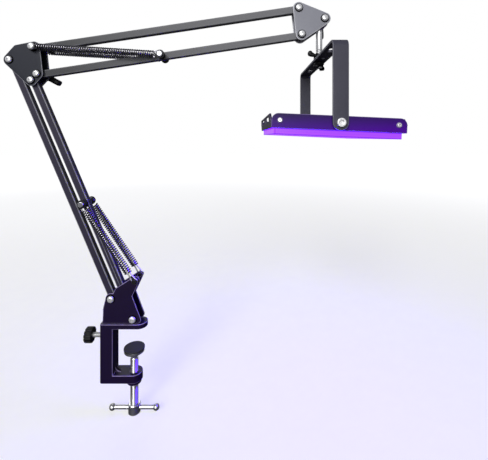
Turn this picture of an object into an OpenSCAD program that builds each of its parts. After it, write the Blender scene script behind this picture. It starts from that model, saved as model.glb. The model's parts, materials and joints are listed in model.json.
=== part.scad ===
// Desk-clamped, spring-balanced scissor arm with a flat UV LED flood lamp, in millimetres.
// +X runs from the table's edge inwards, along the arm. +Y runs into depth. +Z is up.
// The origin is the middle of the face under the clamp's upper jaw, which rests on the table.

/* [Clamp] */
// Length of the face that rests on the table
jaw_len = 41; // [34:1:60]
// Width of both jaws and of the upright
jaw_w = 21; // [20:1:30]
// Thickness of the upper jaw
jaw_t = 6; // [4:0.5:10]
// Thickness of the upright behind the table's edge
upright_t = 16.5; // [15:0.5:24]
// Opening between the jaws
throat = 58; // [50:1:80]
// Thickness of the lower jaw
lower_jaw_t = 10; // [8:0.5:16]
// Height of the threaded boss under the lower jaw
boss_h = 4; // [2:0.5:10]
// Table thickness that the pad stands at
table_t = 28; // [16:1:36]
// Clearance from the screw's axis to the upright
screw_reach = 24; // [22:1:30]
// Diameter of the clamp screw
screw_d = 10; // [8:0.5:12]
// Diameter of the pad
pad_d = 26; // [20:1:34]
// Thickness of the pad's rubber face
pad_face_t = 2; // [1:0.5:4]
// Highest lift of the pad above where it stands
pad_lift = 26; // [10:1:27]
// Length of the tommy bar
tommy_len = 56; // [40:1:80]
// Diameter of the tommy bar
tommy_d = 5; // [4:0.5:6]

/* [Lock knob] */
// Diameter of the lock screw
lock_d = 6; // [5:0.5:7]
// Depth of the lock screw below the top of the table
lock_drop = 12.3; // [10:0.1:20]
// Free length of the lock screw between the upright and its knob
lock_free = 11.8; // [4:0.1:20]
// Diameter of the lock knob
lock_knob_d = 18; // [14:0.5:26]
// Length of the lock knob
lock_knob_len = 9.4; // [8:0.1:18]
// Flutes round the lock knob
lock_flutes = 12; // [8:1:16]

/* [Swivel and base bracket] */
// Diameter of the swivel post
post_d = 10; // [8:0.5:11]
// Depth of the post below the bracket's floor
post_len = 40; // [25:1:48]
// Thickness of the thrust washer
washer_gap = 0.4; // [0.3:0.1:1]
// Height of the ears' spring studs above the table
ear_z = 61.2; // [56:0.2:70]
// Place of the ears' spring studs along the arm
ear_x = 7.8; // [4:0.2:12]
// Height of the lower pivot on the base bracket
base_pivot_z = 11.8; // [11.8:0.1:14]
// Place of the lower pivot along the arm
base_pivot_x = 3.9; // [2:0.1:6]

/* [Plates and pivots] */
// Thickness of every side plate
plate_t = 2; // [1.5:0.1:3]
// Gap between the two plates of a joint
plate_gap = 13; // [12.8:0.1:15]
// Distance from a pivot to the plate's edge
plate_r = 7.5; // [6.5:0.1:9]
// Diameter of the pivot bolts
pivot_d = 5; // [4:0.5:5.5]
// Diameter of the bolts' domed heads
head_d = 8; // [7:0.1:9]
// Height of the bolts' domed heads
head_h = 2.6; // [2:0.1:4]
// Diameter of the black rings under the heads
ring_d = 10.6; // [9.6:0.1:10.6]
// Thickness of the black rings under the heads
ring_t = 0.8; // [0.5:0.1:1.5]

/* [Bars] */
// Width of the square tubes
bar_w = 9; // [8.6:0.1:10]
// Wall of the square tubes
bar_wall = 1; // [0.8:0.1:1.5]
// Corner radius along the tubes
bar_edge = 1.2; // [0.8:0.1:2]
// Pivot to pivot length of the lower bars
lower_len = 327; // [280:1:380]
// Angle of the lower bars from +X
lower_angle = 113; // [95:0.5:117]
// Pivot to pivot length of the upper bars
upper_len = 337; // [290:1:380]
// Angle of the upper bars from +X
upper_angle = 8.5; // [-20:0.1:40]
// Offset along X from the left to the right lower pivot
lower_pair_x = 27.2; // [25:0.1:30]
// Drop from the left to the right lower pivot
lower_pair_z = 25.6; // [24:0.1:29]
// Offset along X from the lower to the upper pivot of the upper bars
upper_pair_x = -3.7; // [-8:0.1:0]
// Rise from the lower to the upper pivot of the upper bars
upper_pair_z = 33.2; // [31:0.1:40]
// Offset along X from the elbow's left pivot to the bottom bar's pivot
elbow_x = 34.5; // [34:0.1:38]
// Drop from the elbow's left pivot to the bottom bar's pivot
elbow_z = 17.8; // [13:0.1:18]

/* [Springs] */
// Distance of the spring anchors from the bars' first pivots
anchor_at = 158; // [130:1:190]
// Outer diameter of the springs
coil_d = 8.6; // [7.6:0.1:9]
// Diameter of the spring wire
wire_d = 1.3; // [1:0.1:1.6]
// Curls of each spring
curls = 22; // [12:1:22]
// Distance from each spring's axis to the middle plane
coil_out = 12.9; // [12.9:0.1:15]
// Length of the hooks on the lower springs
lower_hook_len = 13.4; // [12:0.1:20]
// Length of the hooks on the upper springs
upper_hook_len = 8; // [7.6:0.1:16]
// Diameter of the anchor bolts
anchor_d = 5; // [4:0.5:5]

/* [Head and stem] */
// Offset along X from the bottom bar's last pivot to the head pivot
head_x = 28.9; // [26:0.1:34]
// Rise from the bottom bar's last pivot to the head pivot
head_z = 20; // [16:0.1:26]
// Offset of the stem's axis from the head pivot
stem_offset = 5.4; // [4.8:0.1:8]
// Diameter of the stem's rod
stem_d = 8; // [6:0.5:9]
// Drop from the head pivot to the top of the yoke
stem_drop = 51; // [46:1:70]
// Span of the black wing nuts at the elbow and the head
wing_span = 38; // [30:1:42]
// Span of the wing nut on the yoke
yoke_wing_span = 29; // [24:1:34]
// Thickness of the wings
wing_t = 6; // [3:0.1:7]

/* [Yoke] */
// Width of the yoke's strip
yoke_w = 16; // [12:1:22]
// Thickness of the yoke's strip
yoke_t = 3; // [2:0.5:4]
// Outer width across the yoke's legs
yoke_span = 196; // [180:1:240]
// Height from the lamp's pivot to the top of the yoke
yoke_rise = 84; // [82:1:110]
// Outer radius of the yoke's bends
yoke_bend = 8; // [5:0.5:14]
// Distance of the fixing slots from the yoke's middle
slot_at = 60; // [45:1:75]
// End to end length of the fixing slots
slot_len = 16; // [10:0.5:24]
// Width of the fixing slots
slot_w = 6.4; // [4:0.1:8]

/* [Lamp] */
// Width of the lamp along the arm
lamp_w = 137; // [120:1:142]
// Height of the housing
lamp_h = 15; // [15:0.1:18]
// Gap between the yoke's legs and the end plates
lamp_gap = 2; // [1.5:0.1:4]
// Thickness of the end plates
end_t = 2; // [1.5:0.1:3]
// Corner radius of the end plates
end_r = 7; // [4:0.5:7]
// How far each long wall leans out at its top
wall_lean = 1.8; // [0:0.1:2.5]
// Thickness of the long walls
wall_t = 1.8; // [1.5:0.1:2.5]
// Fins on the back
fins = 11; // [5:1:13]
// Height of the lens below the housing
lens_h = 6.2; // [4:0.1:9]
// Inset of the lens from the housing's sides
lens_inset = 3; // [3:0.1:6]
// Wall of the lens
lens_wall = 2.5; // [2:0.1:3]
// LEDs along the lamp
leds_y = 8; // [4:1:9]
// LEDs across the lamp
leds_x = 6; // [3:1:6]
// Tilt of the lamp in its yoke, right side down
lamp_tilt = 2.5; // [-10:0.5:10]
// Diameter of the lamp's pivot bolts
lamp_bolt_d = 6; // [5:0.5:7]
// Bore of the cable gland
gland_bore = 6.2; // [5:0.1:6.6]

/* [Hidden] */

$fn = 48;
// Radial clearance of every pin that turns in a bore
fit = 0.05;
// Radial clearance of a bolt in the plates that it is tightened in
seat = 0.02;
// Side clearance between a moving piece and its neighbour
slack = 0.1;

steel = "silver";
black = "#26262a";
plastic = "#141416";

// Clamp
throat_x = -jaw_len / 2;
upright_x = throat_x - upright_t;
swivel_x = throat_x - upright_t / 2;
screw_x = throat_x + screw_reach;
lower_jaw_z = -throat - lower_jaw_t;
boss_z = lower_jaw_z - boss_h;
boss_r = screw_d / 2 + 4;
socket_depth = post_len + 2;
cup_t = 3;
cup_neck = 5;
tip_r = screw_d / 2 - 1.5;
cup_z = -table_t - pad_face_t - cup_t;
tip_top = cup_z + 1;
hub_top = boss_z - pad_lift - 1;
hub_h = 12;
tommy_end_r = tommy_d / 2 + 1.5;

// Base bracket
cheek_in = plate_gap / 2;
cheek_out = cheek_in + plate_t;
bracket_z = jaw_t + washer_gap;
base_right = [base_pivot_x, base_pivot_z];
base_left = base_right + [-lower_pair_x, lower_pair_z];
ear = [ear_x, ear_z];
ear_stud_r = 2.2;

// Arm, as points in the X and Z plane
function polar(l, a) = l * [cos(a), sin(a)];
lower_run = polar(lower_len, lower_angle);
upper_run = polar(upper_len, upper_angle);
elbow_left = base_left + lower_run;
elbow_right = base_right + lower_run;
elbow_bottom = elbow_left + [elbow_x, -elbow_z];
elbow_top = elbow_bottom + [upper_pair_x, upper_pair_z];
head_bottom = elbow_bottom + upper_run;
head_top = elbow_top + upper_run;
head_pivot = head_bottom + [head_x, head_z];
lower_anchor = base_right + polar(anchor_at, lower_angle);
upper_anchor = elbow_bottom + polar(anchor_at, upper_angle);

// Springs
wire_r = wire_d / 2;
coil_r = coil_d / 2 - wire_r;
eye_r = anchor_d / 2 + wire_r + slack;
coil_start = eye_r + 4;
rings = 8;
sides = 6;

// Stem, yoke and lamp
stem_x = head_pivot[0] - stem_offset;
yoke_top = head_pivot[1] - stem_drop;
yoke_under = yoke_top - yoke_t;
lamp_z = yoke_top - yoke_rise;
lamp_len = yoke_span - 2 * (yoke_t + lamp_gap);
shell_len = lamp_len - 2 * end_t;
top_h = lamp_h / 2 - 0.4;
low_h = top_h - lamp_h;
deck_z = low_h + 4.4;
deck_t = 2;
deck_top = deck_z + deck_t;
bolt_tip = 12;
end_screw_x = lamp_w / 2 - 8.5;
gland_x = end_screw_x - 14;

// A drawing in X and Z, pushed out along Y from y0 to y1
module side(y0, y1) {
  translate([0, y1, 0]) rotate([90, 0, 0]) linear_extrude(y1 - y0) children();
}

// A round bar along Y at the point p of the X and Z plane
module cross_pin(p, r, y0, y1) {
  translate([p[0], y1, p[1]]) rotate([90, 0, 0]) cylinder(r = r, h = y1 - y0);
}

// A round ring along Y
module cross_ring(p, r_out, r_in, y0, y1) {
  difference() {
    cross_pin(p, r_out, y0, y1);
    cross_pin(p, r_in, y0 - 1, y1 + 1);
  }
}

// The unit normal of the outer tangent from the circle a to the circle b, each [x, z, radius]
function tangent(a, b) =
  let (d = [b[0] - a[0], b[1] - a[1]], l = norm(d), s = (a[2] - b[2]) / l, c = sqrt(1 - s * s))
  [d[0] * s + d[1] * c, d[1] * s - d[0] * c] / l;
function rim(a, n) = [a[0], a[1]] + a[2] * n;

// The outline that wraps circles, listed counter-clockwise as [x, z, radius]
module wrap(c) {
  n = len(c);
  polygon([for (i = [0:n - 1]) each [rim(c[i], tangent(c[(i + n - 1) % n], c[i])),
                                     rim(c[i], tangent(c[i], c[(i + 1) % n]))]]);
  for (q = c) translate([q[0], q[1]]) circle(r = q[2]);
}
function at(p, r) = [p[0], p[1], r];

// A tube along the points p, with triangles as faces
function along(p) = [for (i = [0:len(p) - 1])
  let (d = p[min(i + 1, len(p) - 1)] - p[max(i - 1, 0)]) d / norm(d)];
function across(u, t) = let (w = u - (u * t) * t) w / norm(w);
module tube(p, r, first) {
  t = along(p);
  n = [for (i = 0, u = across(first, t[0]); i < len(t);
            i = i + 1, u = i < len(t) ? across(u, t[i]) : u) u];
  ring = [for (i = [0:len(p) - 1], k = [0:sides - 1])
    p[i] + r * (cos(360 * k / sides) * n[i] + sin(360 * k / sides) * cross(t[i], n[i]))];
  last = (len(p) - 1) * sides;
  walls = [for (i = [0:len(p) - 2], k = [0:sides - 1])
    let (a = i * sides + k, b = i * sides + (k + 1) % sides)
    each [[a, a + sides, b], [b, a + sides, b + sides]]];
  ends = [for (k = [1:sides - 2]) each [[0, k, k + 1], [last, last + k + 1, last + k]]];
  polyhedron(ring, concat(walls, ends));
}

// The points of one spring in its own frame: its eye round the origin, then its curls along +x
function eye_points() = [for (a = [-60:-30:-270]) [eye_r * cos(a), 0, eye_r * sin(a)]];
function curl_points(length) =
  let (pitch = (length - coil_start) / curls)
  [for (i = [0:rings * curls])
    let (a = 90 + 360 * i / rings)
    [coil_start + pitch * i / rings, coil_r * cos(a), coil_r * sin(a)]];
function end_points(length) = [[length, -wire_d * 0.9, coil_r - 0.1]];
function spring_points(length) =
  concat(eye_points(), [[coil_start / 2, 0, (eye_r + coil_r) / 2]], curl_points(length),
         end_points(length));

// The least distance between points of neighbouring curls, less the wire
function least_gap(p) =
  min([for (i = [rings:len(p) - rings - 4], k = [-1:1]) norm(p[i + rings + k] - p[i])]) - wire_d;
echo("least gap in the lower springs", least_gap(curl_points(lower_reach)));
echo("least gap in the upper springs", least_gap(curl_points(upper_reach)));

lower_reach = norm(ear - lower_anchor) - lower_hook_len;
upper_reach = norm(elbow_top - upper_anchor) - upper_hook_len;

// A frame whose x axis runs from the point p to the point q of the X and Z plane, out along Y
module aim(p, q, out) {
  translate([p[0], out, p[1]]) rotate([0, -atan2(q[1] - p[1], q[0] - p[0]), 0]) children();
}

// A hairpin of wire round a stud of radius r at the origin, on a plug in the coil's last curls
function hook_points(r, length) = concat(
  [[length + 2, 0, 1.2], [length * 0.6, 0, 1.3]],
  [for (a = [65:25:290]) [r * cos(a), 0, r * sin(a)]],
  [[length * 0.6, 0, -1.3], [length + 2, 0, -1.2]]);
module hook(r, length) {
  tube(hook_points(r, length), wire_r * 0.85, [0, 1, 0]);
  translate([length, 0, 0]) rotate([0, 90, 0]) cylinder(r = coil_r * cos(180 / rings) - wire_r - slack, h = 6);
}

// One square tube between the pivots p and q, its ends rounded round them
module bar(p, q, extra) {
  l = norm(q - p);
  h = bar_w / 2;
  inner = bar_w - 2 * bar_wall;
  translate([p[0], 0, p[1]]) rotate([0, -atan2(q[1] - p[1], q[0] - p[0]), 0]) difference() {
    intersection() {
      side(-h, h) {
        translate([0, -h]) square([l, bar_w]);
        for (x = [0, l]) translate([x, 0]) circle(r = h);
      }
      translate([-bar_w, 0, 0]) rotate([90, 0, 90]) linear_extrude(l + 2 * bar_w) {
        for (s = [-1, 1]) for (u = [-1, 1])
          translate([s * (h - bar_edge), u * (h - bar_edge)]) circle(r = bar_edge);
        square([bar_w, bar_w - 2 * bar_edge], center = true);
        square([bar_w - 2 * bar_edge, bar_w], center = true);
      }
    }
    translate([-bar_w, -inner / 2, -inner / 2]) cube([l + 2 * bar_w, inner, inner]);
    for (x = [0, l]) cross_pin([x, 0], pivot_d / 2 + fit, -bar_w, bar_w);
    if (extra > 0) cross_pin([extra, 0], anchor_d / 2 + seat, -bar_w, bar_w);
  }
}

// The plastic plugs in both ends of a tube
module bar_plugs(p, q) {
  l = norm(q - p);
  w = bar_w - 2 * bar_wall - 2 * seat;
  translate([p[0], 0, p[1]]) rotate([0, -atan2(q[1] - p[1], q[0] - p[0]), 0])
    for (x = [0, l]) difference() {
      translate([x, 0, 0]) mirror([x > 0 ? 1 : 0, 0, 0]) intersection() {
        translate([-w / 2, -w / 2, -w / 2]) cube([w * 2, w, w]);
        side(-w, w) {
          circle(r = bar_w / 2);
          translate([0, -w]) square([w * 2, w * 2]);
        }
      }
      cross_pin([x, 0], pivot_d / 2 + fit, -bar_w, bar_w);
    }
}

// A bolt with a domed head, from the face y out to its tip on the far side
module pivot_bolt(p, y, tip) {
  difference() {
    union() {
      cross_pin(p, pivot_d / 2, y, tip);
      translate([p[0], y, p[1]]) rotate([90, 0, 0]) rotate_extrude()
        polygon([[0, 0], [head_d / 2, 0], [head_d / 2, head_h * 0.45], [head_d / 2 - 0.7, head_h * 0.8],
                 [head_d / 2 - 1.8, head_h], [0, head_h]]);
    }
    translate([p[0], y - head_h * 0.45, p[1]]) rotate([90, 0, 0]) cylinder(d = 3, h = head_h, $fn = 6);
  }
}
nut_h = 3.4;
bolt_end = cheek_out + ring_t + nut_h + 0.6;
module pivot_nut(p, y) {
  difference() {
    translate([p[0], y + nut_h, p[1]]) rotate([90, 0, 0]) cylinder(d = 8.8, h = nut_h, $fn = 6);
    cross_pin(p, pivot_d / 2 + seat, y - 1, y + nut_h + 1);
  }
}

// The spacers between a bar and its plates, and the black rings under the head and the nut
module spacers(p) {
  for (s = [-1, 1]) scale([1, s, 1])
    cross_ring(p, bar_w / 2 - 0.4, pivot_d / 2 + seat, bar_w / 2 + slack, cheek_in);
}
module rings_outside(p) {
  cross_ring(p, ring_d / 2, pivot_d / 2 + seat, -cheek_out - ring_t, -cheek_out);
  cross_ring(p, ring_d / 2, pivot_d / 2 + seat, cheek_out, cheek_out + ring_t);
}

// A wing nut that stands on the plane z = 0, its bore along +z
module wing_nut(span, hub_r, hub_len, bore_r) {
  lobe = hub_len * 0.42;
  difference() {
    union() {
      cylinder(r = hub_r, h = hub_len * 0.6);
      cylinder(r = hub_r * 0.8, h = hub_len);
      for (s = [0, 180]) rotate([0, 0, s]) translate([0, wing_t / 2, 0]) rotate([90, 0, 0]) linear_extrude(wing_t)
        wrap([[hub_r * 0.55, hub_len * 0.68, hub_len * 0.22],
              [span / 2 - lobe, hub_len * 0.85, lobe * 0.75],
              [span / 2 - lobe, hub_len * 1.15, lobe],
              [hub_r * 0.55, hub_len * 0.8, hub_len * 0.2]]);
    }
    translate([0, 0, -1]) cylinder(r = bore_r, h = hub_len * 2);
  }
}
wing_hub_r = 6;
wing_hub_h = 10;
wing_bolt_end = cheek_out + ring_t + wing_hub_h * 0.9;
module side_wing_nut(p, angle) {
  translate([p[0], cheek_out + ring_t, p[1]]) rotate([0, -angle, 0]) rotate([-90, 0, 0])
    wing_nut(wing_span, wing_hub_r, wing_hub_h, pivot_d / 2 + fit);
}

// Clamp
module clamp_frame() {
  color(black) difference() {
    union() {
      translate([0, 0, lower_jaw_z]) linear_extrude(throat + lower_jaw_t + jaw_t) upright_plan();
      linear_extrude(jaw_t) jaw_plan(-throat_x);
      translate([0, 0, lower_jaw_z]) linear_extrude(lower_jaw_t) jaw_plan(screw_x + jaw_w / 2);
      translate([screw_x, 0, boss_z]) cylinder(r = boss_r, h = boss_h + 1);
      side(-2.5, 2.5) difference() {
        translate([throat_x - 1, -throat - 1]) square([9, 9]);
        translate([throat_x + 8, -throat + 8]) circle(r = 8);
      }
    }
    translate([swivel_x, 0, jaw_t - socket_depth]) cylinder(r = post_d / 2 + fit, h = socket_depth + 1);
    translate([upright_x - 1, 0, -lock_drop]) rotate([0, 90, 0]) cylinder(r = lock_d / 2 + fit, h = upright_t / 2);
    translate([screw_x, 0, boss_z - 1]) cylinder(r = screw_d / 2 + fit, h = lower_jaw_t + boss_h + 2);
  }
}
module upright_plan() {
  r = 3;
  for (s = [-1, 1]) translate([upright_x + r, s * (jaw_w / 2 - r)]) circle(r = r);
  translate([upright_x, -jaw_w / 2 + r]) square([upright_t, jaw_w - 2 * r]);
  translate([upright_x + r, -jaw_w / 2]) square([upright_t - r, jaw_w]);
}
module jaw_plan(tip) {
  translate([throat_x - 1, -jaw_w / 2]) square([tip - jaw_w / 2 - throat_x + 1, jaw_w]);
  translate([tip - jaw_w / 2, 0]) circle(r = jaw_w / 2);
}
module thrust_washer() {
  color(plastic) translate([swivel_x, 0, jaw_t]) difference() {
    cylinder(r = upright_t / 2 - 0.4, h = washer_gap);
    translate([0, 0, -1]) cylinder(r = post_d / 2 + fit, h = washer_gap + 2);
  }
}
module pad_face() {
  color("#2c2c2c") translate([screw_x, 0, -table_t - pad_face_t]) cylinder(d = pad_d, h = pad_face_t);
}
module pad_cup() {
  color(steel) translate([screw_x, 0, 0]) difference() {
    union() {
      translate([0, 0, cup_z]) cylinder(d = pad_d - 1, h = cup_t);
      translate([0, 0, cup_z - cup_neck]) cylinder(r1 = tip_r + 2.5, r2 = tip_r + 4, h = cup_neck);
    }
    translate([0, 0, cup_z - cup_neck - 1]) cylinder(r = tip_r + fit, h = tip_top - cup_z + cup_neck + 1);
  }
}
module clamp_screw() {
  color(steel) translate([screw_x, 0, 0]) difference() {
    union() {
      translate([0, 0, hub_top - hub_h]) cylinder(d = screw_d, h = cup_z - cup_neck - slack - hub_top + hub_h);
      translate([0, 0, hub_top - hub_h]) cylinder(r = tip_r, h = tip_top - slack - hub_top + hub_h);
      translate([0, 0, hub_top - hub_h]) cylinder(r = screw_d / 2 + 2.5, h = hub_h);
    }
    translate([-screw_d, 0, hub_top - hub_h / 2]) rotate([0, 90, 0]) cylinder(r = tommy_d / 2 + seat, h = 2 * screw_d);
  }
}
module tommy_bar() {
  color(steel) translate([screw_x, 0, hub_top - hub_h / 2]) rotate([0, 90, 0]) {
    translate([0, 0, -tommy_len / 2]) cylinder(d = tommy_d, h = tommy_len);
    for (s = [-1, 1]) translate([0, 0, s * tommy_len / 2]) sphere(r = tommy_end_r);
  }
}

// Lock knob
module lock_screw() {
  start = swivel_x - post_d / 2 - slack;
  color(steel) translate([upright_x - lock_free - lock_knob_len + 2, 0, -lock_drop]) rotate([0, 90, 0])
    cylinder(d = lock_d, h = start - upright_x + lock_free + lock_knob_len - 2);
}
module lock_knob() {
  r = lock_knob_d / 2;
  color(plastic) translate([upright_x - lock_free - lock_knob_len, 0, -lock_drop]) rotate([0, 90, 0]) difference() {
    rotate_extrude() polygon([[0, 0], [r - 1.2, 0], [r, 1.2], [r, lock_knob_len - 1.2],
                              [r - 1.2, lock_knob_len], [0, lock_knob_len]]);
    for (i = [0:lock_flutes - 1]) rotate([0, 0, 360 * i / lock_flutes]) translate([r + 0.9, 0, -1])
      cylinder(r = 1.9, h = lock_knob_len + 2);
    translate([0, 0, 2]) cylinder(r = lock_d / 2 + seat, h = lock_knob_len);
  }
}

// Base bracket
cheek_low = bracket_z + 0.1;
cheek_body = [[upright_x + 4, cheek_low + 1, 1], [base_pivot_x + 6, cheek_low + 4.5, 4.5],
              [base_pivot_x - 4, base_left[1] + 1, 4], at(base_left, 7), [upright_x + 5, base_left[1] - 12.6, 1]];
cheek_ear = [[base_pivot_x - 5, base_left[1] + 1, 3], at(ear, 4.7),
             [base_left[0] + 8.8, base_left[1] + 10.3, 4], [base_left[0] + 3, base_left[1] + 1, 3]];
floor_end = base_left[0] + 11;
module base_bracket() {
  color(black) difference() {
    union() {
      for (y = [-cheek_out, cheek_in]) {
        side(y, y + plate_t) wrap(cheek_body);
        side(y, y + plate_t) wrap(cheek_ear);
      }
      translate([upright_x + 3.4, 0.3 - cheek_out, bracket_z])
        cube([floor_end - upright_x - 3.4, 2 * cheek_out - 0.6, plate_t]);
      translate([upright_x + 3.4, 0.3 - cheek_out, bracket_z])
        cube([plate_t, 2 * cheek_out - 0.6, base_left[1] - 13.4 - bracket_z]);
    }
    translate([swivel_x, 0, 0]) cylinder(r = post_d / 2 + seat, h = base_left[1] - 12);
    for (p = [base_left, base_right]) cross_pin(p, pivot_d / 2 + seat, -2 * cheek_out, 2 * cheek_out);
    cross_pin(ear, ear_stud_r + seat, -2 * cheek_out, 2 * cheek_out);
  }
}
module swivel_post() {
  color(steel) translate([swivel_x, 0, 0]) {
    translate([0, 0, bracket_z - post_len]) cylinder(d = post_d, h = post_len + plate_t);
    translate([0, 0, bracket_z + plate_t]) cylinder(d1 = post_d, d2 = post_d - 3, h = 2);
  }
}
module ear_studs() {
  in = coil_out + wire_r + slack;
  color(plastic) for (s = [-1, 1]) scale([1, s, 1]) {
    cross_pin(ear, ear_stud_r, cheek_in, in);
    cross_pin(ear, ear_stud_r + 1.4, cheek_out, coil_out - wire_r - slack);
    translate([ear[0], in, ear[1]]) rotate([-90, 0, 0]) cylinder(r1 = ear_stud_r + 1.6, r2 = ear_stud_r + 0.6, h = 1.6);
  }
}
module base_bolts() {
  color(steel) for (p = [base_left, base_right]) pivot_bolt(p, -cheek_out - ring_t, bolt_end);
}
module base_nuts() {
  color(steel) for (p = [base_left, base_right]) pivot_nut(p, cheek_out + ring_t);
}
module base_washers() {
  color(plastic) for (p = [base_left, base_right]) {
    spacers(p);
    rings_outside(p);
  }
}

// Lower section
module lower_bar_left() {
  color(black) bar(base_left, elbow_left, 0);
}
module lower_left_plugs() {
  color(plastic) bar_plugs(base_left, elbow_left);
}
module lower_bar_right() {
  color(black) bar(base_right, elbow_right, anchor_at);
}
module lower_right_plugs() {
  color(plastic) bar_plugs(base_right, elbow_right);
}
eye_in = coil_out - wire_r - slack;
eye_out = coil_out + wire_r + slack;
anchor_head = 3;
module anchor_bolt(p) {
  cross_pin(p, anchor_d / 2, -eye_out - 2, eye_out + anchor_head + 2);
  for (s = [-1, 1]) scale([1, s, 1]) {
    cross_ring(p, 5.4, anchor_d / 2 - 0.5, eye_out, eye_out + 1);
    translate([p[0], eye_out + 1, p[1]]) rotate([-90, 0, 0]) cylinder(d = 8.8, h = anchor_head, $fn = 6);
  }
}
module anchor_sleeves(p) {
  for (s = [-1, 1]) scale([1, s, 1]) cross_ring(p, 4.6, anchor_d / 2 + seat, bar_w / 2, eye_in);
}
module lower_anchor_bolt() {
  color(steel) anchor_bolt(lower_anchor);
}
module lower_anchor_sleeves() {
  color(plastic) anchor_sleeves(lower_anchor);
}
module spring(p, q, s, reach) {
  color(plastic) scale([1, s, 1]) aim(p, q, coil_out) tube(spring_points(reach + 1), wire_r, [0, 1, 0]);
}
module spring_hooks(p, q, r, length) {
  color(steel) for (s = [-1, 1]) scale([1, s, 1]) aim(p, q, coil_out) hook(r + wire_r + slack, length);
}
module lower_spring_near() {
  spring(lower_anchor, ear, -1, lower_reach);
}
module lower_spring_far() {
  spring(lower_anchor, ear, 1, lower_reach);
}
module lower_spring_hooks() {
  spring_hooks(ear, lower_anchor, ear_stud_r, lower_hook_len);
}

// Elbow
elbow_corner = [elbow_left[0] + 8, elbow_left[1] + 15.5, 3];
module elbow_plate(y) {
  side(y, y + plate_t) difference() {
    wrap([at(elbow_left, plate_r), at(elbow_right, plate_r), at(elbow_bottom, plate_r),
          at(elbow_top, plate_r), elbow_corner]);
    for (p = elbow_pivots) translate(p) circle(r = pivot_d / 2 + seat);
  }
}
elbow_pivots = [elbow_left, elbow_right, elbow_bottom, elbow_top];
module elbow_plate_near() {
  color(black) elbow_plate(-cheek_out);
}
module elbow_plate_far() {
  color(black) elbow_plate(cheek_in);
}
module elbow_bolts() {
  color(steel) {
    for (p = [elbow_left, elbow_right]) pivot_bolt(p, -cheek_out - ring_t, bolt_end);
    pivot_bolt(elbow_top, -eye_out, eye_out + nut_h + 0.6);
    pivot_bolt(elbow_bottom, -cheek_out - ring_t, wing_bolt_end);
  }
}
module elbow_nuts() {
  color(steel) {
    for (p = [elbow_left, elbow_right]) pivot_nut(p, cheek_out + ring_t);
    pivot_nut(elbow_top, eye_out);
  }
}
module elbow_washers() {
  color(plastic) {
    for (p = elbow_pivots) spacers(p);
    for (p = [elbow_left, elbow_right, elbow_bottom]) rings_outside(p);
    for (s = [-1, 1]) scale([1, s, 1])
      cross_ring(elbow_top, ring_d / 2, pivot_d / 2 + seat, cheek_out, eye_in);
  }
}
module elbow_wing_nut() {
  color(plastic) side_wing_nut(elbow_bottom, -42);
}

// Upper section
module upper_bar_top() {
  color(black) bar(elbow_top, head_top, 0);
}
module upper_top_plugs() {
  color(plastic) bar_plugs(elbow_top, head_top);
}
module upper_bar_bottom() {
  color(black) bar(elbow_bottom, head_bottom, anchor_at);
}
module upper_bottom_plugs() {
  color(plastic) bar_plugs(elbow_bottom, head_bottom);
}
module upper_anchor_bolt() {
  color(steel) anchor_bolt(upper_anchor);
}
module upper_anchor_sleeves() {
  color(plastic) anchor_sleeves(upper_anchor);
}
module upper_spring_near() {
  spring(upper_anchor, elbow_top, -1, upper_reach);
}
module upper_spring_far() {
  spring(upper_anchor, elbow_top, 1, upper_reach);
}
module upper_spring_hooks() {
  spring_hooks(elbow_top, upper_anchor, pivot_d / 2, upper_hook_len);
}

// Head
head_pivots = [head_top, head_bottom, head_pivot];
module head_plate(y) {
  side(y, y + plate_t) difference() {
    wrap([at(head_bottom, plate_r), at(head_pivot, plate_r), at(head_top, plate_r)]);
    for (p = head_pivots) translate(p) circle(r = pivot_d / 2 + seat);
  }
}
module head_plate_near() {
  color(black) head_plate(-cheek_out);
}
module head_plate_far() {
  color(black) head_plate(cheek_in);
}
module head_bolts() {
  color(steel) {
    for (p = [head_top, head_bottom]) pivot_bolt(p, -cheek_out - ring_t, bolt_end);
    pivot_bolt(head_pivot, -cheek_out - ring_t, wing_bolt_end);
  }
}
module head_nuts() {
  color(steel) for (p = [head_top, head_bottom]) pivot_nut(p, cheek_out + ring_t);
}
module head_washers() {
  color(plastic) {
    for (p = [head_top, head_bottom]) spacers(p);
    for (p = head_pivots) rings_outside(p);
  }
}
module head_wing_nut() {
  color(plastic) side_wing_nut(head_pivot, 96);
}

// Stem
knuckle_r = 7;
knuckle_foot = head_pivot[1] - 8.5;
rod_end = yoke_under - 7.5;
rod_seat = 2;
module stem_knuckle() {
  color(steel) difference() {
    side(-cheek_in + slack, cheek_in - slack)
      wrap([[stem_x, knuckle_foot, stem_d / 2 + 1.2], [stem_x + 1, knuckle_foot, stem_d / 2 + 1.2],
            at(head_pivot, knuckle_r)]);
    cross_pin(head_pivot, pivot_d / 2 + fit, -cheek_out, cheek_out);
    translate([stem_x, 0, knuckle_foot - 8]) cylinder(r = stem_d / 2 + seat, h = 8 + rod_seat);
  }
}
module stem_rod() {
  color("gainsboro") translate([stem_x, 0, rod_end]) cylinder(d = stem_d, h = knuckle_foot + rod_seat - rod_end);
}

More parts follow.
